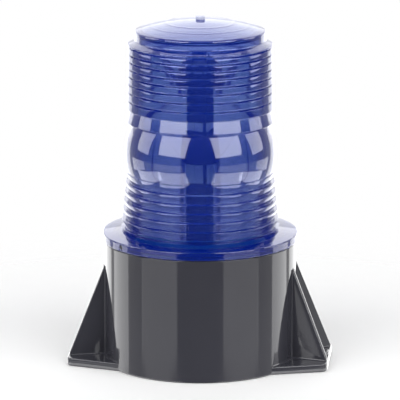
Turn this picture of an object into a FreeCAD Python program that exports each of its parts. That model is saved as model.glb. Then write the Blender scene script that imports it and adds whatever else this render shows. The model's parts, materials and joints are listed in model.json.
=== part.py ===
import FreeCAD, Part
import math
import os
from types import SimpleNamespace

import Sketcher
from FreeCAD import Placement, Rotation, Vector

# Driving dimensions of the beacon, in millimetres and degrees. +Z is up, the two mounting
# ears lie along X, and the origin is the middle of the mounting face.
SIZES = {
    # base housing
    "base_radius": 39.5,
    "base_height": 50.6,
    "base_wall": 3.0,
    "floor_thickness": 3.2,
    "mouth_margin": 2.6,
    "mouth_taper": 1.2,
    # mounting ears
    "ear_length": 14.1,
    "ear_thickness": 3.2,
    "ear_tip_half": 17.0,
    "ear_root_half": 24.0,
    "ear_corner": 3.0,
    "bolt_inset": 6.6,
    "bolt_hole": 6.5,
    "bolt_pad": 13.0,
    "bolt_pad_rise": 1.2,
    "gusset_thickness": 2.2,
    "gusset_root_half": 7.4,
    "gusset_tip_half": 11.6,
    "gusset_drop": 9.6,
    "gusset_end_rise": 1.0,
    "gusset_setback": 0.5,
    # twist lock of the lens
    "groove_wall": 2.5,
    "lug_clearance": 0.3,
    "lug_reach": 1.9,
    "lug_drop": 2.9,
    "lug_height": 2.4,
    "lug_span": 22.0,
    "lug_side_clearance": 1.5,
    "slot_step": 0.05,
    "twist_travel": 25.0,
    "spigot_clearance": 0.4,
    "spigot_wall": 2.4,
    "spigot_tail": 1.0,
    # lens seal
    "seal_gap": 0.3,
    "seal_clearance": 0.1,
    "seal_land": 0.6,
    "seal_width": 1.3,
    "seal_height": 1.0,
    "seal_side_clearance": 0.1,
    # lens
    "flange_overhang": 0.5,
    "flange_height": 3.4,
    "flange_chamfer": 0.6,
    "flange_width": 9.05,
    "flange_rise": 1.3,
    "flange_floor": 0.6,
    "neck_wall": 3.35,
    "neck_lift": 1.6,
    "band_low": 28.7,
    "band_middle": 36.1,
    "band_high": 49.15,
    "band_bulge": 28.0,
    "lower_pitch": 4.0,
    "lower_power": 0.965,
    "lower_crest_set": 0.65,
    "lower_crest_step": 0.37,
    "lower_rib_depth": 1.3,
    "upper_pitch": 5.45,
    "upper_power": 0.8,
    "upper_crest_set": 0.75,
    "upper_crest_step": 0.07,
    "upper_rib_depth": 1.3,
    "upper_face_lean": 0.1,
    "upper_shoulder": 0.6,
    "ledge_draft": 0.25,
    "cap_rim": 0.55,
    "cap_step": 2.9,
    "cap_step_rise": 1.5,
    "cap_side": 4.0,
    "cap_wall": 2.6,
    "dome_radius": 84.0,
    "gate_radius": 1.85,
    "gate_height": 1.5,
    "index_dot": 2.2,
    "index_depth": 0.5,
    "index_angle": 221.7,
    # driver board and its fixings
    "board_drop": 5.0,
    "board_thickness": 1.6,
    "board_clearance": 2.4,
    "boss_inset": 4.0,
    "boss_radius": 3.6,
    "boss_web": 2.4,
    "boss_turn": 90.0,
    "insert_radius": 2.1,
    "insert_length": 6.0,
    "insert_clearance": 0.05,
    "insert_well_tail": 4.0,
    "screw_radius": 1.45,
    "screw_length": 7.0,
    "screw_head": 2.8,
    "screw_head_height": 2.0,
    "thread_clearance": 0.05,
    "screw_hole_clearance": 0.25,
    "seat_clearance": 0.02,
    # light tower
    "tower_turn": -17.0,
    "plinth_radius": 9.8,
    "plinth_foot": 1.7,
    "plinth_foot_height": 2.4,
    "plinth_height": 10.4,
    "socket_depth": 5.0,
    "sleeve_radius": 8.2,
    "sleeve_wall": 1.2,
    "sleeve_length": 38.6,
    "sleeve_clearance": 0.1,
    "core_width": 6.4,
    "stud_radius": 2.0,
    "stud_clearance": 0.1,
    "stud_proud": 1.5,
    "nut_flats": 7.0,
    "nut_height": 3.2,
    "washer_radius": 4.5,
    "washer_thickness": 0.8,
    "led_board_thickness": 1.0,
    "led_board_gap": 0.03,
    "led_board_margin": 0.5,
    "led_width": 3.4,
    "led_height": 3.4,
    "led_thickness": 0.8,
    "led_spacing": 3.6,
    "lower_led_drop": 2.0,
    "upper_led_drop": 18.9,
    "collar_side": 1.2,
    "collar_height": 5.4,
    "collar_top": 5.75,
    "collar_curve": 5.5,
    "collar_clearance": 0.1,
    "upper_tier": 26.1,
    "cap_radius": 10.3,
    "cap_skirt": 1.4,
    "cap_height": 8.4,
    "cap_top_radius": 8.6,
    "cap_crown": 0.8,
    "cap_screw_length": 18.0,
    # driver parts that hang under the board
    "parts_inset": 9.8,
    "capacitor_angle": 20.0,
    "choke_angle": 160.0,
    "rectifier_angle": 65.0,
    "varistor_angle": 310.0,
    "chip_angle": 115.0,
    "resistor_angle": 225.0,
    "terminal_angle": 270.0,
    "capacitor_radius": 5.0,
    "capacitor_length": 16.0,
    "capacitor_edge": 0.6,
    "capacitor_crimp": 0.4,
    "capacitor_crimp_height": 2.0,
    "choke_radius": 6.0,
    "choke_height": 9.0,
    "choke_flange": 1.3,
    "choke_neck": 3.2,
    "winding_clearance": 0.1,
    "winding_inset": 0.7,
    "rectifier_length": 8.2,
    "rectifier_width": 6.2,
    "rectifier_height": 3.0,
    "rectifier_corner": 1.6,
    "varistor_radius": 4.5,
    "varistor_thickness": 4.0,
    "varistor_stand": 1.5,
    "varistor_lead": 0.4,
    "varistor_lead_spacing": 5.0,
    "chip_length": 5.0,
    "chip_width": 4.0,
    "chip_height": 1.6,
    "resistor_radius": 1.2,
    "resistor_length": 6.3,
    "resistor_spacing": 3.4,
    "terminal_width": 8.0,
    "terminal_height": 9.6,
    "terminal_pitch": 5.08,
    "terminal_port": 3.2,
    "terminal_port_depth": 5.0,
    "terminal_port_height": 6.0,
    "terminal_screw_radius": 1.7,
    "terminal_screw_height": 1.4,
    "terminal_screw_sink": 0.6,
    "terminal_screw_clearance": 0.15,
    # cable entry
    "cable_radius": 3.0,
    "grommet_neck": 5.0,
    "grommet_lip": 2.4,
    "grommet_lip_height": 1.8,
    "grommet_recess": 1.5,
    "grommet_inset": 0.3,
    "grommet_clearance": 0.05,
}

LUG_COUNT = 3
BOSS_COUNT = 3
LOWER_RIBS = 7
UPPER_RIBS = 10
TERMINAL_WAYS = 2
RESISTOR_COUNT = 4
NUT_SIDES = 6
OVERCUT = 1.0

document = FreeCAD.newDocument("Beacon")
sheet = document.addObject("Spreadsheet::Sheet", "Sizes")
for row, (alias, number) in enumerate(SIZES.items(), start=1):
    sheet.set(f"A{row}", alias)
    sheet.set(f"B{row}", str(number))
    sheet.setAlias(f"B{row}", alias)
document.recompute()


class Measure:
    """A size that carries its number and the sheet formula that it comes from."""

    def __init__(self, value, formula):
        self.value = value
        self.formula = formula

    def __add__(self, other):
        other = measure(other)
        return Measure(self.value + other.value, f"({self.formula} + {other.formula})")

    def __sub__(self, other):
        other = measure(other)
        return Measure(self.value - other.value, f"({self.formula} - {other.formula})")

    def __mul__(self, other):
        other = measure(other)
        return Measure(self.value * other.value, f"({self.formula} * {other.formula})")

    def __truediv__(self, other):
        other = measure(other)
        return Measure(self.value / other.value, f"({self.formula} / {other.formula})")

    def __radd__(self, other):
        return measure(other) + self

    def __rsub__(self, other):
        return measure(other) - self

    def __rmul__(self, other):
        return measure(other) * self

    def __neg__(self):
        return measure(0) - self


def measure(size_or_number):
    if isinstance(size_or_number, Measure):
        return size_or_number
    return Measure(float(size_or_number), f"({float(size_or_number)})")


def power(base, exponent):
    return Measure(measure(base).value ** exponent.value, f"({measure(base).formula} ^ {exponent.formula})")


def root(square):
    return Measure(math.sqrt(square.value), f"sqrt({square.formula})")


def cosine(angle):
    angle = measure(angle)
    return Measure(math.cos(math.radians(angle.value)), f"cos({angle.formula})")


def sine(angle):
    angle = measure(angle)
    return Measure(math.sin(math.radians(angle.value)), f"sin({angle.formula})")


def arctangent(ratio):
    return Measure(math.degrees(math.atan(ratio.value)), f"(atan({ratio.formula}) / 1 deg)")


size = SimpleNamespace(**{alias: Measure(number, f"Sizes.{alias}") for alias, number in SIZES.items()})
subparts = []


def bind(target, path, amount):
    target.setExpression(path, measure(amount).formula)


def add_body(label, turn=0, across=0, along=0, up=0):
    """An empty body with its own place: turned about Z, then moved."""
    body = document.addObject("PartDesign::Body", label)
    body.Label = label
    body.AllowCompound = True
    body.Placement = Placement(Vector(0, 0, 0), Rotation(Vector(0, 0, 1), measure(turn).value))
    bind(body, "Placement.Rotation.Angle", turn)
    bind(body, "Placement.Base.x", across)
    bind(body, "Placement.Base.y", along)
    bind(body, "Placement.Base.z", up)
    subparts.append(body)
    return body


def origin_feature(body, role):
    return next(feature for feature in body.Origin.OriginFeatures if feature.Role == role)


def add_sketch(body, name, plane, turn=0, right=0, up=0, out=0):
    """A sketch on an origin plane of the body. On XZ its axes are X and Z, and out is along -Y."""
    sketch = body.newObject("Sketcher::SketchObject", name)
    sketch.AttachmentSupport = [(origin_feature(body, plane), "")]
    sketch.MapMode = "FlatFace"
    sketch.AttachmentOffset = Placement(Vector(0, 0, 0), Rotation(Vector(0, 1, 0), measure(turn).value))
    if measure(turn).value:
        bind(sketch, "AttachmentOffset.Rotation.Angle", turn)
    bind(sketch, "AttachmentOffset.Base.x", right)
    bind(sketch, "AttachmentOffset.Base.y", up)
    bind(sketch, "AttachmentOffset.Base.z", out)
    return sketch


def pin(sketch, kind, geometry, position, distance):
    distance = measure(distance)
    rule = Sketcher.Constraint(kind, -1, 1, geometry, position, distance.value)
    number = sketch.addConstraint(rule)
    sketch.setExpression(f"Constraints[{number}]", distance.formula)


def flat_point(corner):
    return Vector(measure(corner[0]).value, measure(corner[1]).value, 0)


def bowed_edge(start, end, radius, to_right):
    """An arc from start to end that bows to the right or the left of that way."""
    chord = end - start
    middle = (start + end) * 0.5
    side = Vector(chord.y, -chord.x, 0).normalize() * (1 if to_right else -1)
    sagitta = radius - math.sqrt(radius ** 2 - (chord.Length / 2) ** 2)
    return Part.Arc(start, middle + side * sagitta, end)


def draw_outline(sketch, corners, arcs=None):
    """A closed outline; arcs gives, for a corner, the radius of the edge that leaves it and its side."""
    arcs = arcs or {}
    count = len(corners)
    first = sketch.GeometryCount
    ends = []
    for index, corner in enumerate(corners):
        start = flat_point(corner)
        end = flat_point(corners[(index + 1) % count])
        if index in arcs:
            sketch.addGeometry(bowed_edge(start, end, arcs[index][0].value, arcs[index][1]))
        else:
            sketch.addGeometry(Part.LineSegment(start, end))
        kept_way = sketch.getPoint(first + index, 1).distanceToPoint(start) < 1e-6
        ends.append((1, 2) if kept_way else (2, 1))
    for index in range(count):
        after = (index + 1) % count
        sketch.addConstraint(Sketcher.Constraint(
            "Coincident", first + index, ends[index][1], first + after, ends[after][0]))
    for index, corner in enumerate(corners):
        pin(sketch, "DistanceX", first + index, ends[index][0], corner[0])
        pin(sketch, "DistanceY", first + index, ends[index][0], corner[1])
    for index, (radius, _) in arcs.items():
        number = sketch.addConstraint(Sketcher.Constraint("Radius", first + index, radius.value))
        sketch.setExpression(f"Constraints[{number}]", radius.formula)


def draw_box(sketch, left, low, right, high):
    draw_outline(sketch, [(left, low), (right, low), (right, high), (left, high)])


def draw_circle(sketch, right, up, radius):
    radius = measure(radius)
    circle = Part.Circle(flat_point((right, up)), Vector(0, 0, 1), radius.value)
    geometry = sketch.addGeometry(circle)
    pin(sketch, "DistanceX", geometry, 3, right)
    pin(sketch, "DistanceY", geometry, 3, up)
    number = sketch.addConstraint(Sketcher.Constraint("Radius", geometry, radius.value))
    sketch.setExpression(f"Constraints[{number}]", radius.formula)


def pad(body, name, sketch, length, both_ways=False):
    feature = body.newObject("PartDesign::Pad", name)
    feature.Profile = sketch
    bind(feature, "Length", length)
    if both_ways:
        feature.SideType = "Symmetric"
    return feature


def turned(body, name, sketch, kind="PartDesign::Revolution", angle=360):
    """The sketch swept about its own upright axis, adding or cutting."""
    feature = body.newObject(kind, name)
    feature.Profile = sketch
    feature.ReferenceAxis = (sketch, ["V_Axis"])
    feature.Angle = measure(angle).value
    bind(feature, "Angle", angle)
    return feature


def cut_through(body, name, sketch, length, toward_sketch_normal):
    feature = body.newObject("PartDesign::Pocket", name)
    feature.Profile = sketch
    bind(feature, "Length", length)
    feature.Reversed = toward_sketch_normal
    return feature


def repeat_round(body, name, features, count):
    pattern = body.newObject("PartDesign::PolarPattern", name)
    pattern.Originals = features
    pattern.Axis = (origin_feature(body, "Z_Axis"), [""])
    pattern.Angle = 360
    pattern.Occurrences = count
    body.Tip = pattern
    return pattern


# Places that several pieces share.
rim = size.base_height
lens_seat = rim + size.seal_gap
cavity_radius = size.base_radius - size.base_wall
ear_reach = size.base_radius + size.ear_length
bolt_place = ear_reach - size.bolt_inset
groove_radius = size.base_radius - size.groove_wall
lug_radius = groove_radius - size.lug_clearance
spigot_radius = lug_radius - size.lug_reach
mouth_radius = spigot_radius + size.spigot_clearance
lug_top = lens_seat - size.lug_drop
lug_bottom = lug_top - size.lug_height
groove_top = lug_top + size.lug_clearance
groove_bottom = lug_bottom - size.lug_clearance
spigot_bottom = lug_bottom - size.spigot_tail
mouth_bottom = spigot_bottom - size.mouth_margin
seal_inner = groove_radius + size.seal_land
seal_outer = seal_inner + size.seal_width
seal_top = lens_seat - size.seal_clearance
seal_bottom = seal_top - size.seal_height
board_radius = mouth_radius - size.board_clearance
board_top = spigot_bottom - size.board_drop
board_bottom = board_top - size.board_thickness
boss_circle = board_radius - size.boss_inset
screw_bore = size.screw_radius + size.thread_clearance
screw_hole = size.screw_radius + size.screw_hole_clearance
plinth_bottom = board_top + size.seat_clearance
plinth_top = plinth_bottom + size.plinth_height
tower_foot = plinth_top - size.socket_depth + size.seat_clearance
sleeve_top = tower_foot + size.sleeve_length
collar_bottom = sleeve_top + size.seat_clearance
collar_top = collar_bottom + size.collar_height
core_top = collar_top + size.upper_tier
cap_bottom = core_top + size.seat_clearance
sleeve_bore = size.sleeve_radius - size.sleeve_wall
stud_hole = size.stud_radius + size.stud_clearance
board_face = size.core_width / 2 + size.led_board_gap
led_face = board_face + size.led_board_thickness + size.seat_clearance
parts_circle = boss_circle - size.parts_inset
parts_top = board_bottom - size.seat_clearance
washer_bottom = parts_top - size.washer_thickness
nut_top = washer_bottom - size.seat_clearance
nut_bottom = nut_top - size.nut_height


# Base housing: a moulded cup with two gusseted ears, board bosses and the twist-lock mouth.
def make_base_housing():
    body = add_body("base_housing")
    sketch = add_sketch(body, "cup_plan", "XY_Plane")
    draw_circle(sketch, 0, 0, size.base_radius)
    pad(body, "cup_block", sketch, rim)
    for side in (1, -1):
        sketch = add_sketch(body, f"ear_plan_{'right' if side > 0 else 'left'}", "XY_Plane")
        ear_root = root(size.base_radius * size.base_radius - size.ear_root_half * size.ear_root_half)
        corners = [
            (side * ear_root, -size.ear_root_half),
            (side * ear_reach, -size.ear_tip_half),
            (side * ear_reach, size.ear_tip_half),
            (side * ear_root, size.ear_root_half),
        ]
        draw_outline(sketch, corners)
        pad(body, f"ear_plate_{'right' if side > 0 else 'left'}", sketch, size.ear_thickness)
    sketch = add_sketch(body, "bolt_pad_plan", "XY_Plane")
    for side in (1, -1):
        draw_circle(sketch, side * bolt_place, 0, size.bolt_pad / 2)
    pad(body, "bolt_pads", sketch, size.ear_thickness + size.bolt_pad_rise)
    add_gussets(body)
    document.recompute()
    round_ear_corners(body)
    add_cavity(body)
    add_board_bosses(body)
    add_twist_lock_mouth(body)
    sketch = add_sketch(body, "bolt_hole_plan", "XY_Plane")
    for side in (1, -1):
        draw_circle(sketch, side * bolt_place, 0, size.bolt_hole / 2)
    hole_depth = size.ear_thickness + size.bolt_pad_rise + OVERCUT
    cut_through(body, "bolt_holes", sketch, hole_depth, True)
    sketch = add_sketch(body, "cable_hole_plan", "XY_Plane")
    draw_circle(sketch, 0, 0, size.grommet_neck + size.grommet_clearance)
    cut_through(body, "cable_hole", sketch, size.floor_thickness + OVERCUT, True)
    sketch = add_sketch(body, "grommet_recess_plan", "XY_Plane")
    draw_circle(sketch, 0, 0, size.grommet_neck + size.grommet_lip + size.grommet_clearance)
    cut_through(body, "grommet_recess", sketch, size.grommet_recess, True)
    return body


def add_gussets(body):
    """Four upright ribs that splay from the cup to the ear tips, with a straight sloping edge."""
    foot = root(size.base_radius * size.base_radius - size.gusset_root_half * size.gusset_root_half)
    run = ear_reach - size.gusset_setback - foot
    spread = size.gusset_tip_half - size.gusset_root_half
    length = root(run * run + spread * spread)
    splay = arctangent(spread / run)
    end_height = size.ear_thickness + size.gusset_end_rise
    gusset_top = rim - size.gusset_drop
    sunk = size.base_wall / 2
    for name, turn, side_x, side_y in (
        ("right_back", splay, 1, 1),
        ("left_back", 180 - splay, -1, 1),
        ("left_front", 180 + splay, -1, -1),
        ("right_front", -splay, 1, -1),
    ):
        sketch = add_sketch(body, f"gusset_side_{name}", "XZ_Plane", turn=turn,
                            right=side_x * foot, out=-side_y * size.gusset_root_half)
        corners = [
            (-sunk, 0),
            (length, 0),
            (length, end_height),
            (0, gusset_top),
            (-sunk, gusset_top),
        ]
        draw_outline(sketch, corners)
        pad(body, f"gusset_{name}", sketch, size.gusset_thickness, both_ways=True)


def round_ear_corners(body):
    edges = []
    for number, edge in enumerate(body.Shape.Edges, start=1):
        middle = edge.CenterOfMass
        upright = abs(edge.Vertexes[0].Z - edge.Vertexes[-1].Z) > size.ear_thickness.value / 2
        at_tip = abs(abs(middle.x) - ear_reach.value) < 1e-4
        at_side = abs(abs(middle.y) - size.ear_tip_half.value) < 1e-4
        if upright and at_tip and at_side:
            edges.append(f"Edge{number}")
    ears = body.Tip
    fillet = body.newObject("PartDesign::Fillet", "ear_corners")
    fillet.Base = (ears, edges)
    bind(fillet, "Radius", size.ear_corner)


def add_cavity(body):
    sketch = add_sketch(body, "cavity_side", "XZ_Plane")
    corners = [
        (0, size.floor_thickness),
        (cavity_radius, size.floor_thickness),
        (cavity_radius, mouth_bottom - size.mouth_taper),
        (mouth_radius, mouth_bottom),
        (mouth_radius, rim + OVERCUT),
        (0, rim + OVERCUT),
    ]
    draw_outline(sketch, corners)
    turned(body, "cavity", sketch, "PartDesign::Groove")


def add_board_bosses(body):
    sketch = add_sketch(body, "boss_plan", "XY_Plane", out=size.floor_thickness)
    for index in range(BOSS_COUNT):
        angle = size.boss_turn + 360 / BOSS_COUNT * index
        draw_circle(sketch, boss_circle * cosine(angle), boss_circle * sine(angle), size.boss_radius)
    boss_height = parts_top - size.floor_thickness
    pad(body, "board_bosses", sketch, boss_height)
    sketch = add_sketch(body, "boss_web_plan", "XY_Plane", out=size.floor_thickness)
    web_end = size.base_radius - size.base_wall / 2
    for index in range(BOSS_COUNT):
        angle = size.boss_turn + 360 / BOSS_COUNT * index
        half = size.boss_web / 2
        corners = []
        for reach, side in ((boss_circle, -1), (web_end, -1), (web_end, 1), (boss_circle, 1)):
            corners.append((
                reach * cosine(angle) - side * half * sine(angle),
                reach * sine(angle) + side * half * cosine(angle),
            ))
        draw_outline(sketch, corners)
    pad(body, "boss_webs", sketch, boss_height - size.boss_web)
    sketch = add_sketch(body, "insert_well_plan", "XY_Plane", out=parts_top)
    for index in range(BOSS_COUNT):
        angle = size.boss_turn + 360 / BOSS_COUNT * index
        well_radius = size.insert_radius + size.insert_clearance
        draw_circle(sketch, boss_circle * cosine(angle), boss_circle * sine(angle), well_radius)
    cut_through(body, "insert_wells", sketch, size.insert_length + size.insert_well_tail, False)


def add_twist_lock_mouth(body):
    """Three entry slots from the rim, each with a groove for the lug to turn in, and the seal groove."""
    slack = size.lug_side_clearance
    start = -size.lug_span / 2 - slack
    groove_side = add_sketch(body, "lug_groove_side", "XZ_Plane", turn=start)
    draw_box(groove_side, mouth_radius - OVERCUT, groove_bottom, groove_radius, groove_top)
    groove_span = size.lug_span + size.twist_travel + 2 * slack
    groove = turned(body, "lug_groove", groove_side, "PartDesign::Groove", groove_span)
    slot_side = add_sketch(body, "lug_slot_side", "XZ_Plane", turn=start + size.twist_travel)
    draw_box(slot_side, mouth_radius - OVERCUT, (groove_bottom + groove_top) / 2,
             groove_radius - size.slot_step, rim + OVERCUT)
    slot = turned(body, "lug_slot", slot_side, "PartDesign::Groove", size.lug_span + slack)
    repeat_round(body, "lug_grooves", [groove, slot], LUG_COUNT)
    sketch = add_sketch(body, "seal_groove_side", "XZ_Plane")
    draw_box(sketch, seal_inner - size.seal_side_clearance, seal_bottom,
             seal_outer + size.seal_side_clearance, rim + OVERCUT)
    turned(body, "seal_groove", sketch, "PartDesign::Groove")


# Lens: one turned moulding with a bulged band at the light and stepped ring prisms above and below.
def make_lens():
    body = add_body("lens")
    corners, arcs = lens_outline()
    sketch = add_sketch(body, "lens_side", "XZ_Plane")
    draw_outline(sketch, corners, arcs)
    turned(body, "lens_shell", sketch)
    lug_side = add_sketch(body, "lug_side", "XZ_Plane", turn=-size.lug_span / 2)
    draw_box(lug_side, spigot_radius - size.spigot_wall / 2, lug_bottom, lug_radius, lug_top)
    lug = turned(body, "lug", lug_side, angle=size.lug_span)
    repeat_round(body, "lugs", [lug], LUG_COUNT)
    flange_radius = size.base_radius + size.flange_overhang
    index_height = lens_seat + size.flange_height / 2
    sketch = add_sketch(body, "index_dot_face", "XZ_Plane", turn=size.index_angle - 270,
                        right=flange_radius * cosine(size.index_angle),
                        out=-flange_radius * sine(size.index_angle))
    draw_circle(sketch, 0, index_height, size.index_dot / 2)
    cut_through(body, "index_dot", sketch, size.index_depth, False)


def lens_outline():
    """Half section of the lens, from the foot of the spigot up the outside and down the inside.

    The first ring over the band slopes evenly; those above have a steep face and a shoulder.
    """
    flange_radius = size.base_radius + size.flange_overhang
    flange_top = lens_seat + size.flange_height
    chamfer = size.flange_chamfer
    lens_radius = flange_radius - size.flange_width
    corners = [
        (spigot_radius, spigot_bottom),
        (spigot_radius, lens_seat),
        (flange_radius - chamfer, lens_seat),
        (flange_radius, lens_seat + chamfer),
        (flange_radius, flange_top - chamfer),
        (flange_radius - chamfer, flange_top),
    ]
    arcs = {}
    band_low = lens_seat + size.band_low
    band_middle = lens_seat + size.band_middle
    band_high = lens_seat + size.band_high
    band_base = lens_radius - size.band_bulge
    below = band_middle - band_low
    above = band_high - band_middle
    band_low_radius = band_base + root(size.band_bulge * size.band_bulge - below * below)
    band_high_radius = band_base + root(size.band_bulge * size.band_bulge - above * above)

    def lower_crest(index):
        return lens_radius - size.lower_crest_set + size.lower_crest_step * index

    neck_height = flange_top + size.flange_rise
    neck_radius = lower_crest(LOWER_RIBS - 1) - size.lower_rib_depth
    corners.append((neck_radius, neck_height))
    for index in reversed(range(LOWER_RIBS)):
        ledge = band_low - size.lower_pitch * power(index, size.lower_power)
        inner = lower_crest(index - 1) - size.lower_rib_depth if index else band_low_radius
        corners.append((lower_crest(index), ledge - size.ledge_draft))
        corners.append((inner, ledge))
    arcs[len(corners) - 1] = (size.band_bulge, True)
    corners.append((band_high_radius, band_high))
    for index in range(UPPER_RIBS):
        ledge = band_high + size.upper_pitch * power(index, size.upper_power)
        crest = lens_radius - size.upper_crest_set - size.upper_crest_step * index
        if index > 1:
            last_crest, face_foot = corners[-1]
            face = ledge - size.upper_shoulder - face_foot
            corners.append((last_crest - size.upper_face_lean * face, face_foot + face))
        if index:
            corners.append((crest + size.upper_crest_step - size.upper_rib_depth, ledge))
        corners.append((crest, ledge + size.ledge_draft))
    rim_top = ledge + size.ledge_draft + size.cap_rim
    cap_radius = crest - size.cap_step
    cap_low = rim_top + size.cap_step_rise
    cap_high = cap_low + size.cap_side
    dome = size.dome_radius
    dome_centre = cap_high - root(dome * dome - cap_radius * cap_radius)
    corners += [(crest, rim_top), (cap_radius, cap_low), (cap_radius, cap_high)]
    arcs[len(corners) - 1] = (dome, True)
    gate_foot = dome_centre + root(dome * dome - size.gate_radius * size.gate_radius)
    gate_top = gate_foot + size.gate_height
    corners += [(size.gate_radius, gate_foot), (size.gate_radius, gate_top), (0, gate_top)]
    inner_dome = dome - size.cap_wall
    inner_cap = cap_radius - size.cap_wall
    corners.append((0, dome_centre + inner_dome))
    arcs[len(corners) - 1] = (inner_dome, False)
    corners.append((inner_cap, dome_centre + root(inner_dome * inner_dome - inner_cap * inner_cap)))
    corners.append((neck_radius - size.neck_wall, neck_height - size.neck_lift))
    spigot_inner = spigot_radius - size.spigot_wall
    corners += [(spigot_inner, lens_seat + size.flange_floor), (spigot_inner, spigot_bottom)]
    return corners, arcs


def make_ring(label, inner, outer, low, high):
    body = add_body(label)
    sketch = add_sketch(body, f"{label}_side", "XZ_Plane")
    draw_box(sketch, inner, low, outer, high)
    turned(body, f"{label}_ring", sketch)


def make_driver_board():
    body = add_body("driver_board", turn=size.boss_turn)
    sketch = add_sketch(body, "board_plan", "XY_Plane", out=board_bottom)
    draw_circle(sketch, 0, 0, board_radius)
    draw_circle(sketch, 0, 0, stud_hole)
    for index in range(BOSS_COUNT):
        angle = measure(360 / BOSS_COUNT * index)
        draw_circle(sketch, boss_circle * cosine(angle), boss_circle * sine(angle), screw_hole)
    pad(body, "board_plate", sketch, size.board_thickness)


def draw_screw(sketch, seat, length):
    """Half section of a pan head screw that hangs from its seat."""
    head_side = size.screw_head_height / 2
    corners = [
        (0, seat - length),
        (size.screw_radius, seat - length),
        (size.screw_radius, seat),
        (size.screw_head, seat),
        (size.screw_head, seat + head_side),
        (size.screw_head - head_side, seat + size.screw_head_height),
        (0, seat + size.screw_head_height),
    ]
    draw_outline(sketch, corners, {4: (head_side, True)})


def make_board_fixings():
    body = add_body("board_screws", turn=size.boss_turn)
    sketch = add_sketch(body, "board_screw_side", "XZ_Plane", right=boss_circle)
    draw_screw(sketch, board_top + size.seat_clearance, size.screw_length)
    screw = turned(body, "board_screw", sketch)
    repeat_round(body, "board_screw_ring", [screw], BOSS_COUNT)
    body = add_body("board_inserts", turn=size.boss_turn)
    sketch = add_sketch(body, "insert_side", "XZ_Plane", right=boss_circle)
    draw_box(sketch, screw_bore, parts_top - size.insert_length, size.insert_radius, parts_top)
    insert = turned(body, "insert", sketch)
    repeat_round(body, "insert_ring", [insert], BOSS_COUNT)


# Light tower: a plinth on the driver board, a square metal core with two tiers of LED boards, a
# clear sleeve round the lower tier, a collar on the sleeve and a cap on the core.
def make_tower_plinth():
    body = add_body("tower_plinth")
    sketch = add_sketch(body, "plinth_side", "XZ_Plane")
    foot_top = plinth_bottom + size.plinth_foot_height
    socket_floor = plinth_top - size.socket_depth
    socket_radius = size.sleeve_radius + size.sleeve_clearance
    corners = [
        (stud_hole, plinth_bottom),
        (size.plinth_radius + size.plinth_foot, plinth_bottom),
        (size.plinth_radius + size.plinth_foot, foot_top),
        (size.plinth_radius, foot_top + size.plinth_foot),
        (size.plinth_radius, plinth_top),
        (socket_radius, plinth_top),
        (socket_radius, socket_floor),
        (stud_hole, socket_floor),
    ]
    draw_outline(sketch, corners)
    turned(body, "plinth", sketch)


def make_tower_core():
    body = add_body("tower_core", turn=size.tower_turn)
    half = size.core_width / 2
    sketch = add_sketch(body, "core_plan", "XY_Plane", out=tower_foot)
    draw_box(sketch, -half, -half, half, half)
    pad(body, "core_bar", sketch, core_top - tower_foot)
    stud_bottom = nut_bottom - size.stud_proud
    sketch = add_sketch(body, "stud_plan", "XY_Plane", out=stud_bottom)
    draw_circle(sketch, 0, 0, size.stud_radius)
    pad(body, "stud", sketch, tower_foot - stud_bottom)
    sketch = add_sketch(body, "cap_screw_bore_plan", "XY_Plane", out=core_top)
    draw_circle(sketch, 0, 0, screw_bore)
    cut_through(body, "cap_screw_bore", sketch, size.cap_screw_length, False)


def make_tower_nut():
    body = add_body("tower_nut", turn=size.tower_turn)
    sketch = add_sketch(body, "nut_plan", "XY_Plane", out=nut_bottom)
    corner_reach = size.nut_flats / 2 / cosine(180 / NUT_SIDES)
    corners = []
    for side in range(NUT_SIDES):
        angle = 360 / NUT_SIDES * side
        corners.append((corner_reach * cosine(angle), corner_reach * sine(angle)))
    draw_outline(sketch, corners)
    draw_circle(sketch, 0, 0, size.stud_radius + size.thread_clearance)
    pad(body, "nut", sketch, size.nut_height)


def make_led_tier(tier, low, high, led_middle):
    """Four LED boards round the core, each lapping the edge of the next, with its pair of emitters."""
    board_left = -(board_face + size.led_board_thickness)
    board_right = board_face - size.led_board_gap
    for step, side in enumerate(("front", "right", "back", "left")):
        turn = size.tower_turn + 90 * step
        body = add_body(f"led_board_{tier}_{side}", turn=turn)
        sketch = add_sketch(body, f"led_board_{tier}_{side}_plan", "XY_Plane", out=low)
        draw_box(sketch, board_left, -(board_face + size.led_board_thickness), board_right, -board_face)
        pad(body, f"led_board_{tier}_{side}_plate", sketch, high - low)
        body = add_body(f"led_emitters_{tier}_{side}", turn=turn)
        sketch = add_sketch(body, f"led_emitters_{tier}_{side}_face", "XZ_Plane", out=led_face)
        for place in (-1, 1):
            middle = (board_left + board_right + size.led_spacing * place) / 2
            draw_box(sketch, middle - size.led_width / 2, led_middle - size.led_height / 2,
                     middle + size.led_width / 2, led_middle + size.led_height / 2)
        pad(body, f"led_emitters_{tier}_{side}_block", sketch, size.led_thickness)


def make_tower_collar():
    body = add_body("tower_collar", turn=size.tower_turn)
    sketch = add_sketch(body, "collar_side", "XZ_Plane")
    corners = [
        (0, collar_bottom),
        (size.sleeve_radius, collar_bottom),
        (size.sleeve_radius, collar_bottom + size.collar_side),
        (size.collar_top, collar_top),
        (0, collar_top),
    ]
    draw_outline(sketch, corners, {2: (size.collar_curve, True)})
    turned(body, "collar", sketch)
    sketch = add_sketch(body, "collar_hole_plan", "XY_Plane", out=collar_top)
    half = size.core_width / 2 + size.collar_clearance
    draw_box(sketch, -half, -half, half, half)
    cut_through(body, "collar_hole", sketch, size.collar_height + OVERCUT, False)


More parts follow.
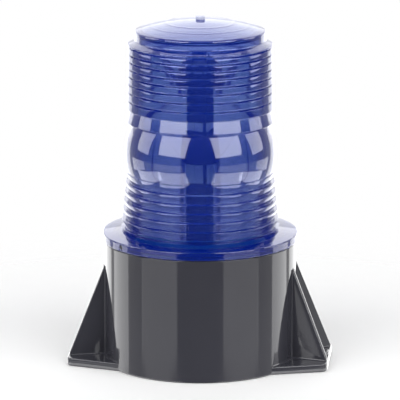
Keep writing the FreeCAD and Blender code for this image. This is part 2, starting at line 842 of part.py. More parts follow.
def make_tower_cap():
    body = add_body("tower_cap")
    sketch = add_sketch(body, "cap_side", "XZ_Plane")
    cap_top = cap_bottom + size.cap_height
    corners = [
        (screw_hole, cap_bottom),
        (size.cap_radius, cap_bottom),
        (size.cap_radius, cap_bottom + size.cap_skirt),
        (size.cap_top_radius, cap_top - size.cap_crown),
        (size.cap_top_radius - size.cap_crown, cap_top),
        (screw_hole, cap_top),
    ]
    draw_outline(sketch, corners)
    turned(body, "cap", sketch)
    body = add_body("cap_screw")
    sketch = add_sketch(body, "cap_screw_side", "XZ_Plane")
    draw_screw(sketch, cap_top + size.seat_clearance, size.cap_screw_length)
    turned(body, "cap_screw_turned", sketch)


def add_hung_body(label, angle):
    """A body at its place on the ring of driver parts; its own top is the underside of the board."""
    return add_body(label, turn=angle, across=parts_circle * cosine(angle),
                    along=parts_circle * sine(angle), up=parts_top)


# Driver parts: what makes a steady current for the light tower, soldered under the board.
def make_smoothing_capacitor():
    body = add_hung_body("smoothing_capacitor", size.capacitor_angle)
    sketch = add_sketch(body, "capacitor_side", "XZ_Plane")
    radius = size.capacitor_radius
    crimp = size.capacitor_crimp_height
    corners = [
        (0, -size.capacitor_length),
        (radius - size.capacitor_edge, -size.capacitor_length),
        (radius, size.capacitor_edge - size.capacitor_length),
        (radius, -crimp - size.capacitor_crimp),
        (radius - size.capacitor_crimp, -crimp),
        (radius, size.capacitor_crimp - crimp),
        (radius, 0),
        (0, 0),
    ]
    draw_outline(sketch, corners)
    turned(body, "capacitor_can", sketch)


def make_filter_choke():
    body = add_hung_body("filter_choke", size.choke_angle)
    sketch = add_sketch(body, "choke_side", "XZ_Plane")
    low = -size.choke_height
    corners = [
        (0, low),
        (size.choke_radius, low),
        (size.choke_radius, low + size.choke_flange),
        (size.choke_neck, low + size.choke_flange),
        (size.choke_neck, -size.choke_flange),
        (size.choke_radius, -size.choke_flange),
        (size.choke_radius, 0),
        (0, 0),
    ]
    draw_outline(sketch, corners)
    turned(body, "choke_drum", sketch)
    body = add_hung_body("choke_winding", size.choke_angle)
    sketch = add_sketch(body, "winding_side", "XZ_Plane")
    gap = size.winding_clearance
    draw_box(sketch, size.choke_neck + gap, low + size.choke_flange + gap,
             size.choke_radius - size.winding_inset, -size.choke_flange - gap)
    turned(body, "winding", sketch)


def make_bridge_rectifier():
    body = add_hung_body("bridge_rectifier", size.rectifier_angle)
    sketch = add_sketch(body, "rectifier_plan", "XY_Plane", out=-size.rectifier_height)
    half_length = size.rectifier_length / 2
    half_width = size.rectifier_width / 2
    corners = [
        (-half_length, -half_width),
        (half_length, -half_width),
        (half_length, half_width - size.rectifier_corner),
        (half_length - size.rectifier_corner, half_width),
        (-half_length, half_width),
    ]
    draw_outline(sketch, corners)
    pad(body, "rectifier_block", sketch, size.rectifier_height)


def make_surge_varistor():
    body = add_hung_body("surge_varistor", size.varistor_angle)
    middle = -size.varistor_stand - size.varistor_radius
    sketch = add_sketch(body, "varistor_face", "XZ_Plane")
    draw_circle(sketch, 0, middle, size.varistor_radius)
    pad(body, "varistor_disc", sketch, size.varistor_thickness, both_ways=True)
    sketch = add_sketch(body, "varistor_lead_plan", "XY_Plane", out=middle)
    for place in (-1, 1):
        draw_circle(sketch, size.varistor_lead_spacing / 2 * place, 0, size.varistor_lead)
    pad(body, "varistor_leads", sketch, -middle)


def make_driver_chip():
    body = add_hung_body("driver_chip", size.chip_angle)
    sketch = add_sketch(body, "chip_plan", "XY_Plane", out=-size.chip_height)
    draw_box(sketch, -size.chip_length / 2, -size.chip_width / 2, size.chip_length / 2, size.chip_width / 2)
    pad(body, "chip_block", sketch, size.chip_height)


def make_ballast_resistors():
    body = add_hung_body("ballast_resistors", size.resistor_angle)
    sketch = add_sketch(body, "resistor_ends", "XZ_Plane")
    for index in range(RESISTOR_COUNT):
        place = size.resistor_spacing * (index - (RESISTOR_COUNT - 1) / 2)
        draw_circle(sketch, place, -size.resistor_radius, size.resistor_radius)
    pad(body, "resistors", sketch, size.resistor_length, both_ways=True)


def make_terminal_block():
    body = add_hung_body("terminal_block", size.terminal_angle)
    low = -size.terminal_height
    half_length = size.terminal_pitch * TERMINAL_WAYS / 2
    half_width = size.terminal_width / 2
    sketch = add_sketch(body, "terminal_plan", "XY_Plane", out=low)
    draw_box(sketch, -half_width, -half_length, half_width, half_length)
    pad(body, "terminal_body", sketch, size.terminal_height)
    well_depth = size.terminal_screw_height + size.terminal_screw_sink
    wells = add_sketch(body, "terminal_well_plan", "XY_Plane", out=low)
    ports = add_sketch(body, "terminal_port_face", "YZ_Plane", out=half_width)
    for way in range(TERMINAL_WAYS):
        place = size.terminal_pitch * (way - (TERMINAL_WAYS - 1) / 2)
        draw_circle(wells, 0, place, size.terminal_screw_radius + size.terminal_screw_clearance)
        draw_circle(ports, place, -size.terminal_port_height + size.terminal_port / 2, size.terminal_port / 2)
    cut_through(body, "terminal_wells", wells, well_depth, True)
    cut_through(body, "terminal_ports", ports, size.terminal_port_depth, False)
    body = add_hung_body("terminal_screws", size.terminal_angle)
    screw_low = low + size.terminal_screw_sink - size.seat_clearance
    sketch = add_sketch(body, "terminal_screw_plan", "XY_Plane", out=screw_low)
    for way in range(TERMINAL_WAYS):
        place = size.terminal_pitch * (way - (TERMINAL_WAYS - 1) / 2)
        draw_circle(sketch, 0, place, size.terminal_screw_radius)
    pad(body, "terminal_screw_heads", sketch, size.terminal_screw_height)


# Cable grommet: a rubber bush snapped into the floor, its lower lip sunk above the mounting face.
def make_cable_grommet():
    body = add_body("cable_grommet")
    sketch = add_sketch(body, "grommet_side", "XZ_Plane")
    lip = size.grommet_neck + size.grommet_lip
    web_low = size.grommet_recess - size.grommet_clearance
    web_high = size.floor_thickness + size.grommet_clearance
    corners = [
        (size.cable_radius, size.grommet_inset),
        (lip, size.grommet_inset),
        (lip, web_low),
        (size.grommet_neck, web_low),
        (size.grommet_neck, web_high),
        (lip, web_high),
        (lip, web_high + size.grommet_lip_height / 2),
        (lip - size.grommet_lip / 2, web_high + size.grommet_lip_height),
        (size.cable_radius, web_high + size.grommet_lip_height),
    ]
    draw_outline(sketch, corners)
    turned(body, "grommet", sketch)


make_base_housing()
make_lens()
make_ring("lens_seal", seal_inner, seal_outer, seal_bottom + size.seat_clearance, seal_top)
make_driver_board()
make_board_fixings()
make_tower_plinth()
make_tower_core()
make_ring("tower_washer", stud_hole, size.washer_radius, washer_bottom, parts_top)
make_tower_nut()
make_ring("tower_sleeve", sleeve_bore, size.sleeve_radius, tower_foot, sleeve_top)
make_tower_collar()
lower_high = sleeve_top - size.led_board_margin
make_led_tier("lower", tower_foot + size.led_board_margin, lower_high, lower_high - size.lower_led_drop)
upper_high = core_top - size.led_board_margin
make_led_tier("upper", collar_top + size.led_board_margin, upper_high, upper_high - size.upper_led_drop)
make_tower_cap()
make_smoothing_capacitor()
make_filter_choke()
make_bridge_rectifier()
make_surge_varistor()
make_driver_chip()
make_ballast_resistors()
make_terminal_block()
make_cable_grommet()
document.recompute()

for item in document.Objects:
    if "Invalid" in item.State or "Error" in item.State:
        raise RuntimeError(f"{item.Name} failed: {item.State}")
for part in subparts:
    if part.Shape.isNull() or not part.Shape.isValid():
        raise RuntimeError(f"{part.Label} has no valid shape")

os.makedirs("parts", exist_ok=True)
for part in subparts:
    part.Shape.exportStep(f"parts/{part.Label}.step")
    box = part.Shape.BoundBox
    print(f"{part.Label}: {len(part.Shape.Solids)} solids, {part.Shape.Volume:.1f} mm3, "
          f"z {box.ZMin:.2f} to {box.ZMax:.2f}, x {box.XMin:.2f} to {box.XMax:.2f}")
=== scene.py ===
# %% [markdown]
# # A blue LED beacon
# The beacon is a clear blue lens on a dark grey cup with two gusseted ears. A packed model holds its
# exact parts, so this lesson starts from that model and only adds what a photograph would show:
# rounded edges, polished or moulded surfaces, and light. Lengths of the beacon are in millimetres, and
# those of the finishes and the studio in metres.

# %% Load the frame
import json
import math

import bmesh
import bpy
from mathutils import Matrix, Vector

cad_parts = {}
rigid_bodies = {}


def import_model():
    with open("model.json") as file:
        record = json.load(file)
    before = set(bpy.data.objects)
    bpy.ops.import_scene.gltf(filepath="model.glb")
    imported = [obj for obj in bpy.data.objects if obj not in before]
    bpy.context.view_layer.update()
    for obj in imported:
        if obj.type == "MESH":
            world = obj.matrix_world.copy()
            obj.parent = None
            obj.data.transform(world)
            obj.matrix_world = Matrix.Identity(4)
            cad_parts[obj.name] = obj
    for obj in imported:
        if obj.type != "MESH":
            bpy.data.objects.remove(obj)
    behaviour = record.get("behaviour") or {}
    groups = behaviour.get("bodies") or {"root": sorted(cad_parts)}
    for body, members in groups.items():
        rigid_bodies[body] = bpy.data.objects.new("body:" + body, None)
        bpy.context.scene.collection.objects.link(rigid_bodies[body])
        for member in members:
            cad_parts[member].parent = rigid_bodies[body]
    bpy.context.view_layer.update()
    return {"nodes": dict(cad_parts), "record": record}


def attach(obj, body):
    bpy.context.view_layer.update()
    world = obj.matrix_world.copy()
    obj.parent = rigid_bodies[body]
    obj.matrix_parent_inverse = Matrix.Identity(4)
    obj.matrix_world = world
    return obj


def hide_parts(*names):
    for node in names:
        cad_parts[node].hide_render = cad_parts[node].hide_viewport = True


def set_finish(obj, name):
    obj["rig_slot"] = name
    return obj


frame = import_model()
MM = 0.001
print("parts in the frame:", len(frame["nodes"]))

# %% [markdown]
# ## Turned shapes
# Most of the beacon is round, so most pieces are a half section swept about an upright axis. A moulded
# edge is never quite sharp. A bevel modifier could round it, but rounding the section itself keeps the
# ring of faces clean, and clean rings are what make a polished surface reflect without ripples. A point
# just past each end of a rounding keeps the shading of the flat beside it even.

# %% Round the corners of a section
TINY, LONGEST_REACH = 1e-6, 0.47
HOLD_OF_ARC, HOLD_OF_SIDE = 0.4, 0.02


def even_steps(first, last, count):
    return [first + (last - first) * step / count for step in range(count + 1)]


def rounded(corners, steps=4):
    """Points of a closed outline whose corners are (across, up, radius)."""
    points = []
    for index, (across, up, radius) in enumerate(corners):
        corner = Vector((across, up))
        before = Vector(corners[index - 1][:2]) - corner
        after = Vector(corners[(index + 1) % len(corners)][:2]) - corner
        shorter = min(before.length, after.length)
        if not radius or shorter < TINY:
            points.append(corner)
            continue
        half_turn = before.angle(after) / 2
        reach = min(radius / math.tan(half_turn), LONGEST_REACH * shorter)
        hold = min(HOLD_OF_ARC * reach, HOLD_OF_SIDE * shorter)
        start = corner + before.normalized() * reach
        end = corner + after.normalized() * reach
        points.append(start + before.normalized() * hold)
        for share in even_steps(0, 1, steps):
            points.append(start.lerp(corner, share).lerp(corner.lerp(end, share), share))
        points.append(end + after.normalized() * hold)
    return points


print("a rounded square has", len(rounded([(0, 0, 1), (9, 0, 1), (9, 9, 1), (0, 9, 1)])), "points")

# %% [markdown]
# A lathe would cut such a shape, and a mould for it is turned in the same way. The Spin operator or a Screw
# modifier could sweep the section, but a short loop gives full say over the spacing of the columns, which
# the lens needs later. A point on the axis becomes one shared pole, so no sliver faces are left there.

# %% Sweep a section about the upright axis


def turn_section(mesh, section, angles, place=Matrix.Identity(4)):
    """Adds the surface that a closed section of (radius, height) points sweeps through full turns."""
    rings = []
    for radius, height in section:
        if radius < TINY:
            pole = mesh.verts.new(place @ Vector((0, 0, height * MM)))
            rings.append([pole] * len(angles))
            continue
        ring = []
        for angle in angles:
            spot = Vector((radius * math.cos(angle), radius * math.sin(angle), height))
            ring.append(mesh.verts.new(place @ (spot * MM)))
        rings.append(ring)
    for index, ring in enumerate(rings):
        above = rings[(index + 1) % len(rings)]
        for side in range(len(angles)):
            after = (side + 1) % len(angles)
            corners = dict.fromkeys((ring[side], ring[after], above[after], above[side]))
            if len(corners) > 2:
                mesh.faces.new(corners)


def even_angles(count):
    return [2 * math.pi * index / count for index in range(count)]


print("a ring of", len(even_angles(96)), "columns is smooth at this size")

# %% [markdown]
# Each piece belongs to a body of the mechanism: the base stands still and the lens cap turns. Every piece
# is linked, tied to its body and shaded the same way, so one helper does it. Smooth shading alone would
# smear light over real corners, so edges sharper than the crease angle stay crisp.

# %% Turn a mesh into a piece that rides on a body


def add_piece(name, mesh, body, slot, *nodes, crease=40):
    """Links the mesh as one piece that stands for the named nodes."""
    bmesh.ops.remove_doubles(mesh, verts=mesh.verts, dist=1e-7)
    bmesh.ops.recalc_face_normals(mesh, faces=mesh.faces)
    data = bpy.data.meshes.new(name)
    mesh.to_mesh(data)
    mesh.free()
    data.shade_smooth()
    data.set_sharp_from_angle(angle=math.radians(crease))
    piece = bpy.data.objects.new(name, data)
    bpy.context.scene.collection.objects.link(piece)
    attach(piece, body)
    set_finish(piece, slot)
    if nodes:
        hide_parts(*nodes)
    print(name, "has", len(data.polygons), "faces")
    return piece


# %% [markdown]
# ## The lens
# The lens is one clear moulding. A bulged band in the middle gathers the light of the LEDs into a flat
# beam, and stepped rings above and below do the same with thinner plastic. The section is worked out
# from the same heights and pitches as the solid, with a small radius on every crest and root.

# %% Heights and radii of the lens
SEAT = 50.9
FLANGE_RADIUS = 40.0
FLANGE_TOP = 54.3
LENS_RADIUS = 30.95
SPIGOT_RADIUS = 34.8
SPIGOT_FOOT = 44.6
NECK_HEIGHT = 55.6
BAND_LOW, BAND_MIDDLE, BAND_HIGH = 79.6, 87.0, 100.05
BAND_BULGE = 28.0
RIB_DEPTH = 1.3
LEDGE_DRAFT = 0.25
CREST_ROUND, ROOT_ROUND, EDGE_ROUND = 0.3, 0.15, 0.4
LOWER_SWELL, UPPER_SWELL = 0.1, 0.022
SHOULDER, SHOULDER_ROUND, FACE_LEAN = 0.6, 0.2, 0.1
print("the band is", round(BAND_HIGH - BAND_LOW, 2), "mm high")

# %% [markdown]
# The rings under the band flare out towards a ledge on top. Those above it are the other way up: they stick
# out at the bottom, lean in, and end in a small shoulder. Each face swells by a hair, because the stripes of
# light in the photograph fit a slightly rounded face better than a flat or a hollow one.

# %% Where the rings stand
LOWER_RINGS, UPPER_RINGS = 7, 9
LOWER_INSET, LOWER_GROWTH = 0.65, 0.37
LOWER_PITCH, LOWER_POWER = 4.0, 0.965
UPPER_INSET, UPPER_TAPER = 0.75, 0.07
UPPER_PITCH, UPPER_POWER = 5.45, 0.8


def lower_crest(ring):
    return LENS_RADIUS - LOWER_INSET + LOWER_GROWTH * ring


def lower_ledge(ring):
    return BAND_LOW - LOWER_PITCH * ring ** LOWER_POWER


def upper_crest(ring):
    return LENS_RADIUS - UPPER_INSET - UPPER_TAPER * ring


def upper_ledge(ring):
    return BAND_HIGH + UPPER_PITCH * ring ** UPPER_POWER


print("ledges of the lower rings:", [round(lower_ledge(ring), 2) for ring in range(LOWER_RINGS)])
print("ledges of the upper rings:", [round(upper_ledge(ring), 2) for ring in range(UPPER_RINGS + 1)])

# %% [markdown]
# A face between two edges becomes a few points on a shallow curve. A subdivision surface could swell it too,
# but it would also soften the edges that the rings need.

# %% The face of a ring
FACE_STEPS = 5


def belly(low, high, swell):
    """Points on the face of a ring, which swells a little between its lower and its upper edge."""
    face = Vector(high) - Vector(low)
    outward = Vector((face.y, -face.x)).normalized()
    points = []
    for share in even_steps(0, 1, FACE_STEPS)[1:-1]:
        points.append(Vector(low) + face * share + outward * 4 * swell * share * (1 - share))
    return [(*point, 0) for point in points]


print("a face of 4 mm swells to", round(belly((0, 0), (0, 4), LOWER_SWELL)[1][0], 3), "mm")

# %% [markdown]
# The section is written from the neck upwards, as a tool would trace it. Each lower ring gives its face, its
# crest and the root of the ledge above it.

# %% Lower rings


def lower_rings():
    corners = [(lower_crest(LOWER_RINGS - 1) - RIB_DEPTH, NECK_HEIGHT, EDGE_ROUND)]
    for ring in reversed(range(LOWER_RINGS)):
        ledge = lower_ledge(ring)
        inner = lower_crest(ring - 1) - RIB_DEPTH if ring else bulge_radius(BAND_LOW)
        crest = (lower_crest(ring), ledge - LEDGE_DRAFT)
        corners += belly(corners[-1][:2], crest, LOWER_SWELL)
        corners.append((*crest, CREST_ROUND))
        corners.append((inner, ledge, ROOT_ROUND))
    return corners


def bulge_radius(height):
    rise = height - BAND_MIDDLE
    return LENS_RADIUS - BAND_BULGE + math.sqrt(BAND_BULGE ** 2 - rise ** 2)


print("the lower rings have", len(lower_rings()), "corners")

# %% [markdown]
# The band is a plain arc, cut into enough steps to reflect smoothly. An upper ring runs from its crest up to
# the shoulder and in to the root of the next ledge; the first one has no shoulder.

# %% Band and upper rings
BAND_STEPS = 28


def band_arc():
    heights = even_steps(BAND_LOW, BAND_HIGH, BAND_STEPS)[1:-1]
    corners = [(bulge_radius(height), height, 0) for height in heights]
    return corners + [(bulge_radius(BAND_HIGH), BAND_HIGH, ROOT_ROUND)]


def upper_rings():
    corners = []
    for ring in range(UPPER_RINGS + 1):
        ledge = upper_ledge(ring)
        if ring > 1:
            face = ledge - SHOULDER - upper_ledge(ring - 1) - LEDGE_DRAFT
            shoulder = (upper_crest(ring - 1) - FACE_LEAN * face, ledge - SHOULDER)
            corners += belly(corners[-1][:2], shoulder, UPPER_SWELL)
            corners.append((*shoulder, SHOULDER_ROUND))
        if ring:
            corners.append((upper_crest(ring - 1) - RIB_DEPTH, ledge, ROOT_ROUND))
        corners.append((upper_crest(ring), ledge + LEDGE_DRAFT, CREST_ROUND))
    return corners


print("the band and the upper rings have", len(band_arc() + upper_rings()), "corners")

# %% [markdown]
# A shallow dome closes the lens. The fine rings on it look like marks of the cutter that made the mould, and
# the stub in the middle is where the plastic flowed in. A sphere with displacement could give such rings,
# but a few more points on the section cost less and stay crisp.

# %% The dome
CAP_RIM = 132.45
CAP_LOW, CAP_HIGH = 133.95, 137.95
CAP_RADIUS = 26.67
DOME_RADIUS = 84.0
DOME_CENTRE = CAP_HIGH - math.sqrt(DOME_RADIUS ** 2 - CAP_RADIUS ** 2)
DOME_RINGS = (14.0, 20.0)
RING_WIDTH, RING_RISE = 0.5, 0.06
GATE_RADIUS, GATE_TOP = 1.85, 143.78


def dome_corners(ball, radii):
    """Points at the given radii along a dome."""
    return [(radius, DOME_CENTRE + math.sqrt(ball ** 2 - radius ** 2), 0) for radius in radii]


def ringed_dome():
    """The outside of the dome, with the fine rings that the cutter left in the mould."""
    radii = even_steps(CAP_RADIUS - 1.5, GATE_RADIUS, 24)
    for ring in DOME_RINGS:
        radii += even_steps(ring - RING_WIDTH, ring + RING_WIDTH, 4)
    corners = []
    for radius, height, round_off in dome_corners(DOME_RADIUS, sorted(radii, reverse=True)):
        nearest = min(abs(radius - ring) for ring in DOME_RINGS)
        corners.append((radius, height + RING_RISE * max(0, 1 - nearest / RING_WIDTH), round_off))
    return corners


print("the dome has", len(ringed_dome()), "points")

# %% [markdown]
# The flange is the wide rim that rests on the cup, and the spigot below it carries the lock. The rim has
# rows of points close together, because a dimple is pressed into it later.

# %% Spigot and flange
RIM_FOOT = SEAT + 0.9
RIM_STEP, RIM_STEPS = 0.2, 8


def flange_corners():
    corners = [
        (SPIGOT_RADIUS, SPIGOT_FOOT, EDGE_ROUND),
        (SPIGOT_RADIUS, SEAT, 0.1),
        (FLANGE_RADIUS, SEAT, 0.7),
    ]
    corners += [(FLANGE_RADIUS, RIM_FOOT + RIM_STEP * step, 0) for step in range(RIM_STEPS + 1)]
    return corners + [(FLANGE_RADIUS, FLANGE_TOP - 0.05, 1.0)]


print("the flange has", len(flange_corners()), "corners")

# %% [markdown]
# The inside is a plain wall with small steps under the dome. All of the lens is one closed section, so light
# passes through a true wall thickness; a Solidify modifier would give the inside rings as well.

# %% Inside and whole section of the lens
WALL = 2.6
DOME_STEPS = (0, 13.2, 17.4, 21.0, CAP_RADIUS - WALL - 1)
DOME_STEP_RISE = 0.3
DOME_EDGE = 136.06
NECK_INNER, NECK_FOOT = 27.87, 54.0
SPIGOT_INNER, FLANGE_FLOOR = 32.4, 51.5


def inner_corners():
    corners = []
    for step, (inner, outer) in enumerate(zip(DOME_STEPS, DOME_STEPS[1:])):
        corners += dome_corners(DOME_RADIUS - WALL - DOME_STEP_RISE * step, even_steps(inner, outer, 6))
    return corners + [
        (CAP_RADIUS - WALL, DOME_EDGE, 1.2),
        (NECK_INNER, NECK_FOOT, 1.5),
        (SPIGOT_INNER, FLANGE_FLOOR, EDGE_ROUND),
        (SPIGOT_INNER, SPIGOT_FOOT, EDGE_ROUND),
    ]


def lens_corners():
    cap = [
        (upper_crest(UPPER_RINGS), CAP_RIM, EDGE_ROUND),
        (CAP_RADIUS, CAP_LOW, 0.5),
        (CAP_RADIUS, CAP_HIGH, 0.9),
    ]
    gate = [(GATE_RADIUS, GATE_TOP, 0.35), (0, GATE_TOP, 0)]
    wall = lower_rings() + band_arc() + upper_rings()
    return flange_corners() + wall + cap + ringed_dome() + gate + inner_corners()


lens_section = rounded(lens_corners(), 3)
print("the lens section has", len(lens_section), "points")

# %% [markdown]
# A small round dimple on the flange shows which way the lens is turned. Cutting it with a boolean would
# leave long thin faces on a polished rim. Instead the columns are set closer together around it, and
# the few vertices inside its circle are pushed in.

# %% Sweep the lens and press the index dimple
INDEX_ANGLE = math.radians(221.7)
INDEX_HEIGHT = SEAT + 1.7
INDEX_RADIUS, INDEX_DEPTH = 1.1, 0.5
LENS_COLUMNS = 180
FINE_STEP, FINE_STEPS = 0.25, 9
CLEARING = math.radians(2.6)


def lens_angles():
    steps = range(-FINE_STEPS, FINE_STEPS + 1)
    fine = [INDEX_ANGLE + math.radians(FINE_STEP * step) for step in steps]
    coarse = [angle for angle in even_angles(LENS_COLUMNS) if abs(angle - INDEX_ANGLE) > CLEARING]
    return sorted(coarse + fine)


def press_index(mesh):
    """Pushes in the vertices of the flange rim that lie within the dimple."""
    pressed = 0
    for vertex in mesh.verts:
        angle = math.atan2(vertex.co.y, vertex.co.x) % (2 * math.pi)
        across = (angle - INDEX_ANGLE) * FLANGE_RADIUS
        up = vertex.co.z / MM - INDEX_HEIGHT
        on_rim = abs(vertex.co.xy.length / MM - FLANGE_RADIUS) < 0.02
        depth = INDEX_DEPTH * max(0, 1 - (math.hypot(across, up) / INDEX_RADIUS) ** 4)
        if on_rim and depth > 0:
            vertex.co.xy -= vertex.co.xy.normalized() * depth * MM
            pressed += 1
    return pressed


lens_mesh = bmesh.new()
turn_section(lens_mesh, lens_section, lens_angles())
print("the dimple moved", press_index(lens_mesh), "vertices")

# %% [markdown]
# Three lugs under the flange lock the lens to the cup. A lug is a plate of even thickness, and so are the
# ears and gussets of the base, so one helper makes all of them: an outline, a thickness, and a rounded edge
# on both faces. The rounding needs the outline moved inward in small steps.

# %% Move an outline inward


def inset(outline, distance):
    """The outline, which runs anticlockwise, moved inward by a distance."""
    moved = []
    for index, point in enumerate(outline):
        arriving = (point - outline[index - 1]).normalized()
        leaving = (outline[(index + 1) % len(outline)] - point).normalized()
        normal = Vector((-arriving.y - leaving.y, arriving.x + leaving.x)).normalized()
        share = max(0.3, normal.dot(Vector((-leaving.y, leaving.x))))
        moved.append(point + normal * distance / share)
    return moved


corner_sample = [Vector((0, 0)), Vector((9, 0)), Vector((9, 9)), Vector((0, 9))]
print("a square of 9 mm moved in by 1 mm starts at", tuple(inset(corner_sample, 1)[0]))

# %% [markdown]
# A bevel modifier would round the edges of a plain extrusion, but it also rounds the rim of every hole. Here
# the outer wall is a stack of rings on a quarter circle, and a hole, if there is one, stays straight.

# %% A flat plate with rounded edges


def add_slab(mesh, outline, low, high, edge, place=Matrix.Identity(4), hole=None):
    """A plate between two heights; hole is an optional second outline cut straight through it."""
    levels = []
    for turn in even_steps(0, math.pi / 2, 3):
        levels.append((edge * (1 - math.sin(turn)), low + edge * (1 - math.cos(turn))))
    levels += [(distance, low + high - height) for distance, height in reversed(levels)]

    def ring(points, height):
        return [mesh.verts.new(place @ (Vector((*point, height)) * MM)) for point in points]

    def band(lower, upper):
        for side in range(len(lower)):
            after = (side + 1) % len(lower)
            mesh.faces.new((lower[side], lower[after], upper[after], upper[side]))

    walls = [ring(inset(outline, distance), height) for distance, height in levels]
    for lower, upper in zip(walls, walls[1:]):
        band(lower, upper)
    bores = [ring(hole, height) for height in (low, high)] if hole else []
    if bores:
        band(bores[1], bores[0])
    for level in (0, -1):
        loops = [walls[level]] + ([bores[level]] if bores else [])
        edges = []
        for loop in loops:
            for side, vertex in enumerate(loop):
                edges.append(mesh.edges.get((loop[side - 1], vertex)))
        bmesh.ops.triangle_fill(mesh, use_beauty=True, edges=edges)


print("plates are ready:", add_slab.__doc__)

# %% [markdown]
# The lugs hide below the rim of the cup, but a lens without them could not be locked. Each one is a short
# piece of a ring, let into the wall of the spigot so that it grows out of it.

# %% Lugs of the twist lock
LUG_RADIUS = 36.7
LUG_LOW, LUG_HIGH = 45.6, 48.0
LUG_HALF = math.radians(11)
LUG_SUNK, LUG_EDGE = 1.2, 0.25


def arc(radius, first, last, count=12):
    """Points along an arc about the axis."""
    turns = even_steps(first, last, count)
    return [Vector((radius * math.cos(turn), radius * math.sin(turn))) for turn in turns]


lug_outline = arc(LUG_RADIUS, -LUG_HALF, LUG_HALF) + arc(SPIGOT_RADIUS - LUG_SUNK, LUG_HALF, -LUG_HALF)
for third in range(3):
    facing = Matrix.Rotation(2 * math.pi * third / 3, 4, "Z")
    add_slab(lens_mesh, lug_outline, LUG_LOW, LUG_HIGH, LUG_EDGE, facing)
add_piece("lens_moulding", lens_mesh, "lens_cap", "lens_blue", "lens", crease=60)

# %% [markdown]
# The dimple looks dark, which makes it easy to find on a clear rim. That dark is shade, and a dark plug of
# painted shade fills it. The plug is a shallow turned button, laid on its side so that its axis points out
# of the rim.

# %% Fill the dimple with a plug of painted shade
# The plug is painted shade: the dimple itself is an empty recess, and the plug's dark stands in for its
# shade.
SHADE_PLUG_RADIUS = 0.95
shade_plug_corners = [(0, 0, 0), (SHADE_PLUG_RADIUS, 0, 0.05), (SHADE_PLUG_RADIUS, 0.35, 0.15), (0, 0.4, 0)]
outward = Matrix.Rotation(INDEX_ANGLE, 4, "Z") @ Matrix.Rotation(math.pi / 2, 4, "Y")
shade_plug_place = outward @ Matrix.Translation(Vector((-INDEX_HEIGHT, 0, FLANGE_RADIUS - INDEX_DEPTH)) * MM)
shade_plug_mesh = bmesh.new()
turn_section(shade_plug_mesh, rounded(shade_plug_corners), even_angles(32), shade_plug_place)
add_piece("index_mark", shade_plug_mesh, "lens_cap", "black_moulding")

# %% [markdown]
# ## The base
# The base is a glossy moulded cup that holds the wiring and the driver board. Its section has the groove for
# the seal, the thicker collar that takes the twist lock, and the hole for the cable bush. It is turned like
# the lens, because a cylinder with a Solidify modifier would give none of these steps.

# %% Cup wall, rim and floor
BASE_RADIUS, BASE_INNER = 39.5, 36.5
RIM, FLOOR = 50.6, 3.2
MOUTH = 35.2
COLLAR_FOOT, COLLAR_LOW = 40.8, 42.0
SEAL_INNER, SEAL_OUTER, SEAL_FLOOR = 37.5, 39.0, 49.8
GROOVE_LOW, GROOVE_HIGH, GROOVE_EDGE = 45.3, 48.3, 0.05
BUSH_HOLE, BUSH_RECESS, RECESS_TOP = 5.05, 7.45, 1.5
CUP_COLUMNS = 360
cup_corners = [
    (BUSH_RECESS, 0, 0.2),
    (BASE_RADIUS, 0, 0.4),
    (BASE_RADIUS, RIM, 0.5),
    (SEAL_OUTER, RIM, 0),
    (SEAL_OUTER, SEAL_FLOOR, 0),
    (SEAL_INNER, SEAL_FLOOR, 0),
    (SEAL_INNER, RIM, 0),
    (MOUTH, RIM, 0.3),
    (MOUTH, GROOVE_HIGH + GROOVE_EDGE, 0),
    (MOUTH, GROOVE_HIGH, 0),
    (MOUTH, GROOVE_LOW, 0),
    (MOUTH, GROOVE_LOW - GROOVE_EDGE, 0),
    (MOUTH, COLLAR_LOW, 0.3),
    (BASE_INNER, COLLAR_FOOT, 0.3),
    (BASE_INNER, FLOOR, 1.0),
    (BUSH_HOLE, FLOOR, 0.2),
    (BUSH_HOLE, RECESS_TOP, 0.1),
    (BUSH_RECESS, RECESS_TOP, 0.1),
]
base_mesh = bmesh.new()
turn_section(base_mesh, rounded(cup_corners), even_angles(CUP_COLUMNS))
print("the cup has", len(base_mesh.faces), "faces")

# %% [markdown]
# A lug drops through a slot in the rim and then turns along a groove. A boolean would cut both, at the cost
# of long thin faces on the polished outside. The columns of the cup stand one degree apart, so it is enough
# to push the vertices of the bore outward wherever a lug passes.

# %% Slots and grooves for the lugs
GROOVE_RADIUS = 37.0
GROOVE_TURN = (-12.5, 37.5)
SLOT_TURN = (12.5, 36.5)


def cut_grooves(mesh):
    """Pushes the bore outward where a lug enters and where it turns, alike in each third of the cup."""
    moved = 0
    for vertex in mesh.verts:
        radius = vertex.co.xy.length / MM
        height = vertex.co.z / MM
        turn = (math.degrees(math.atan2(vertex.co.y, vertex.co.x)) + 20) % 120 - 20
        span = GROOVE_TURN if height < GROOVE_HIGH + 0.01 else SLOT_TURN
        on_bore = radius < MOUTH + 0.4 and height > GROOVE_LOW - 0.01
        if on_bore and span[0] < turn < span[1]:
            vertex.co.xy *= (radius + GROOVE_RADIUS - MOUTH) / radius
            moved += 1
    return moved


print("slots and grooves moved", cut_grooves(base_mesh), "vertices")

# %% [markdown]
# Two ears carry the bolts. Each is a plate whose inner edge follows the cup and whose outer corners are
# rounded. A raised pad round the hole gives the bolt head a flat seat; it is turned and dropped into a
# round hole in the plate, so both keep clean edges.

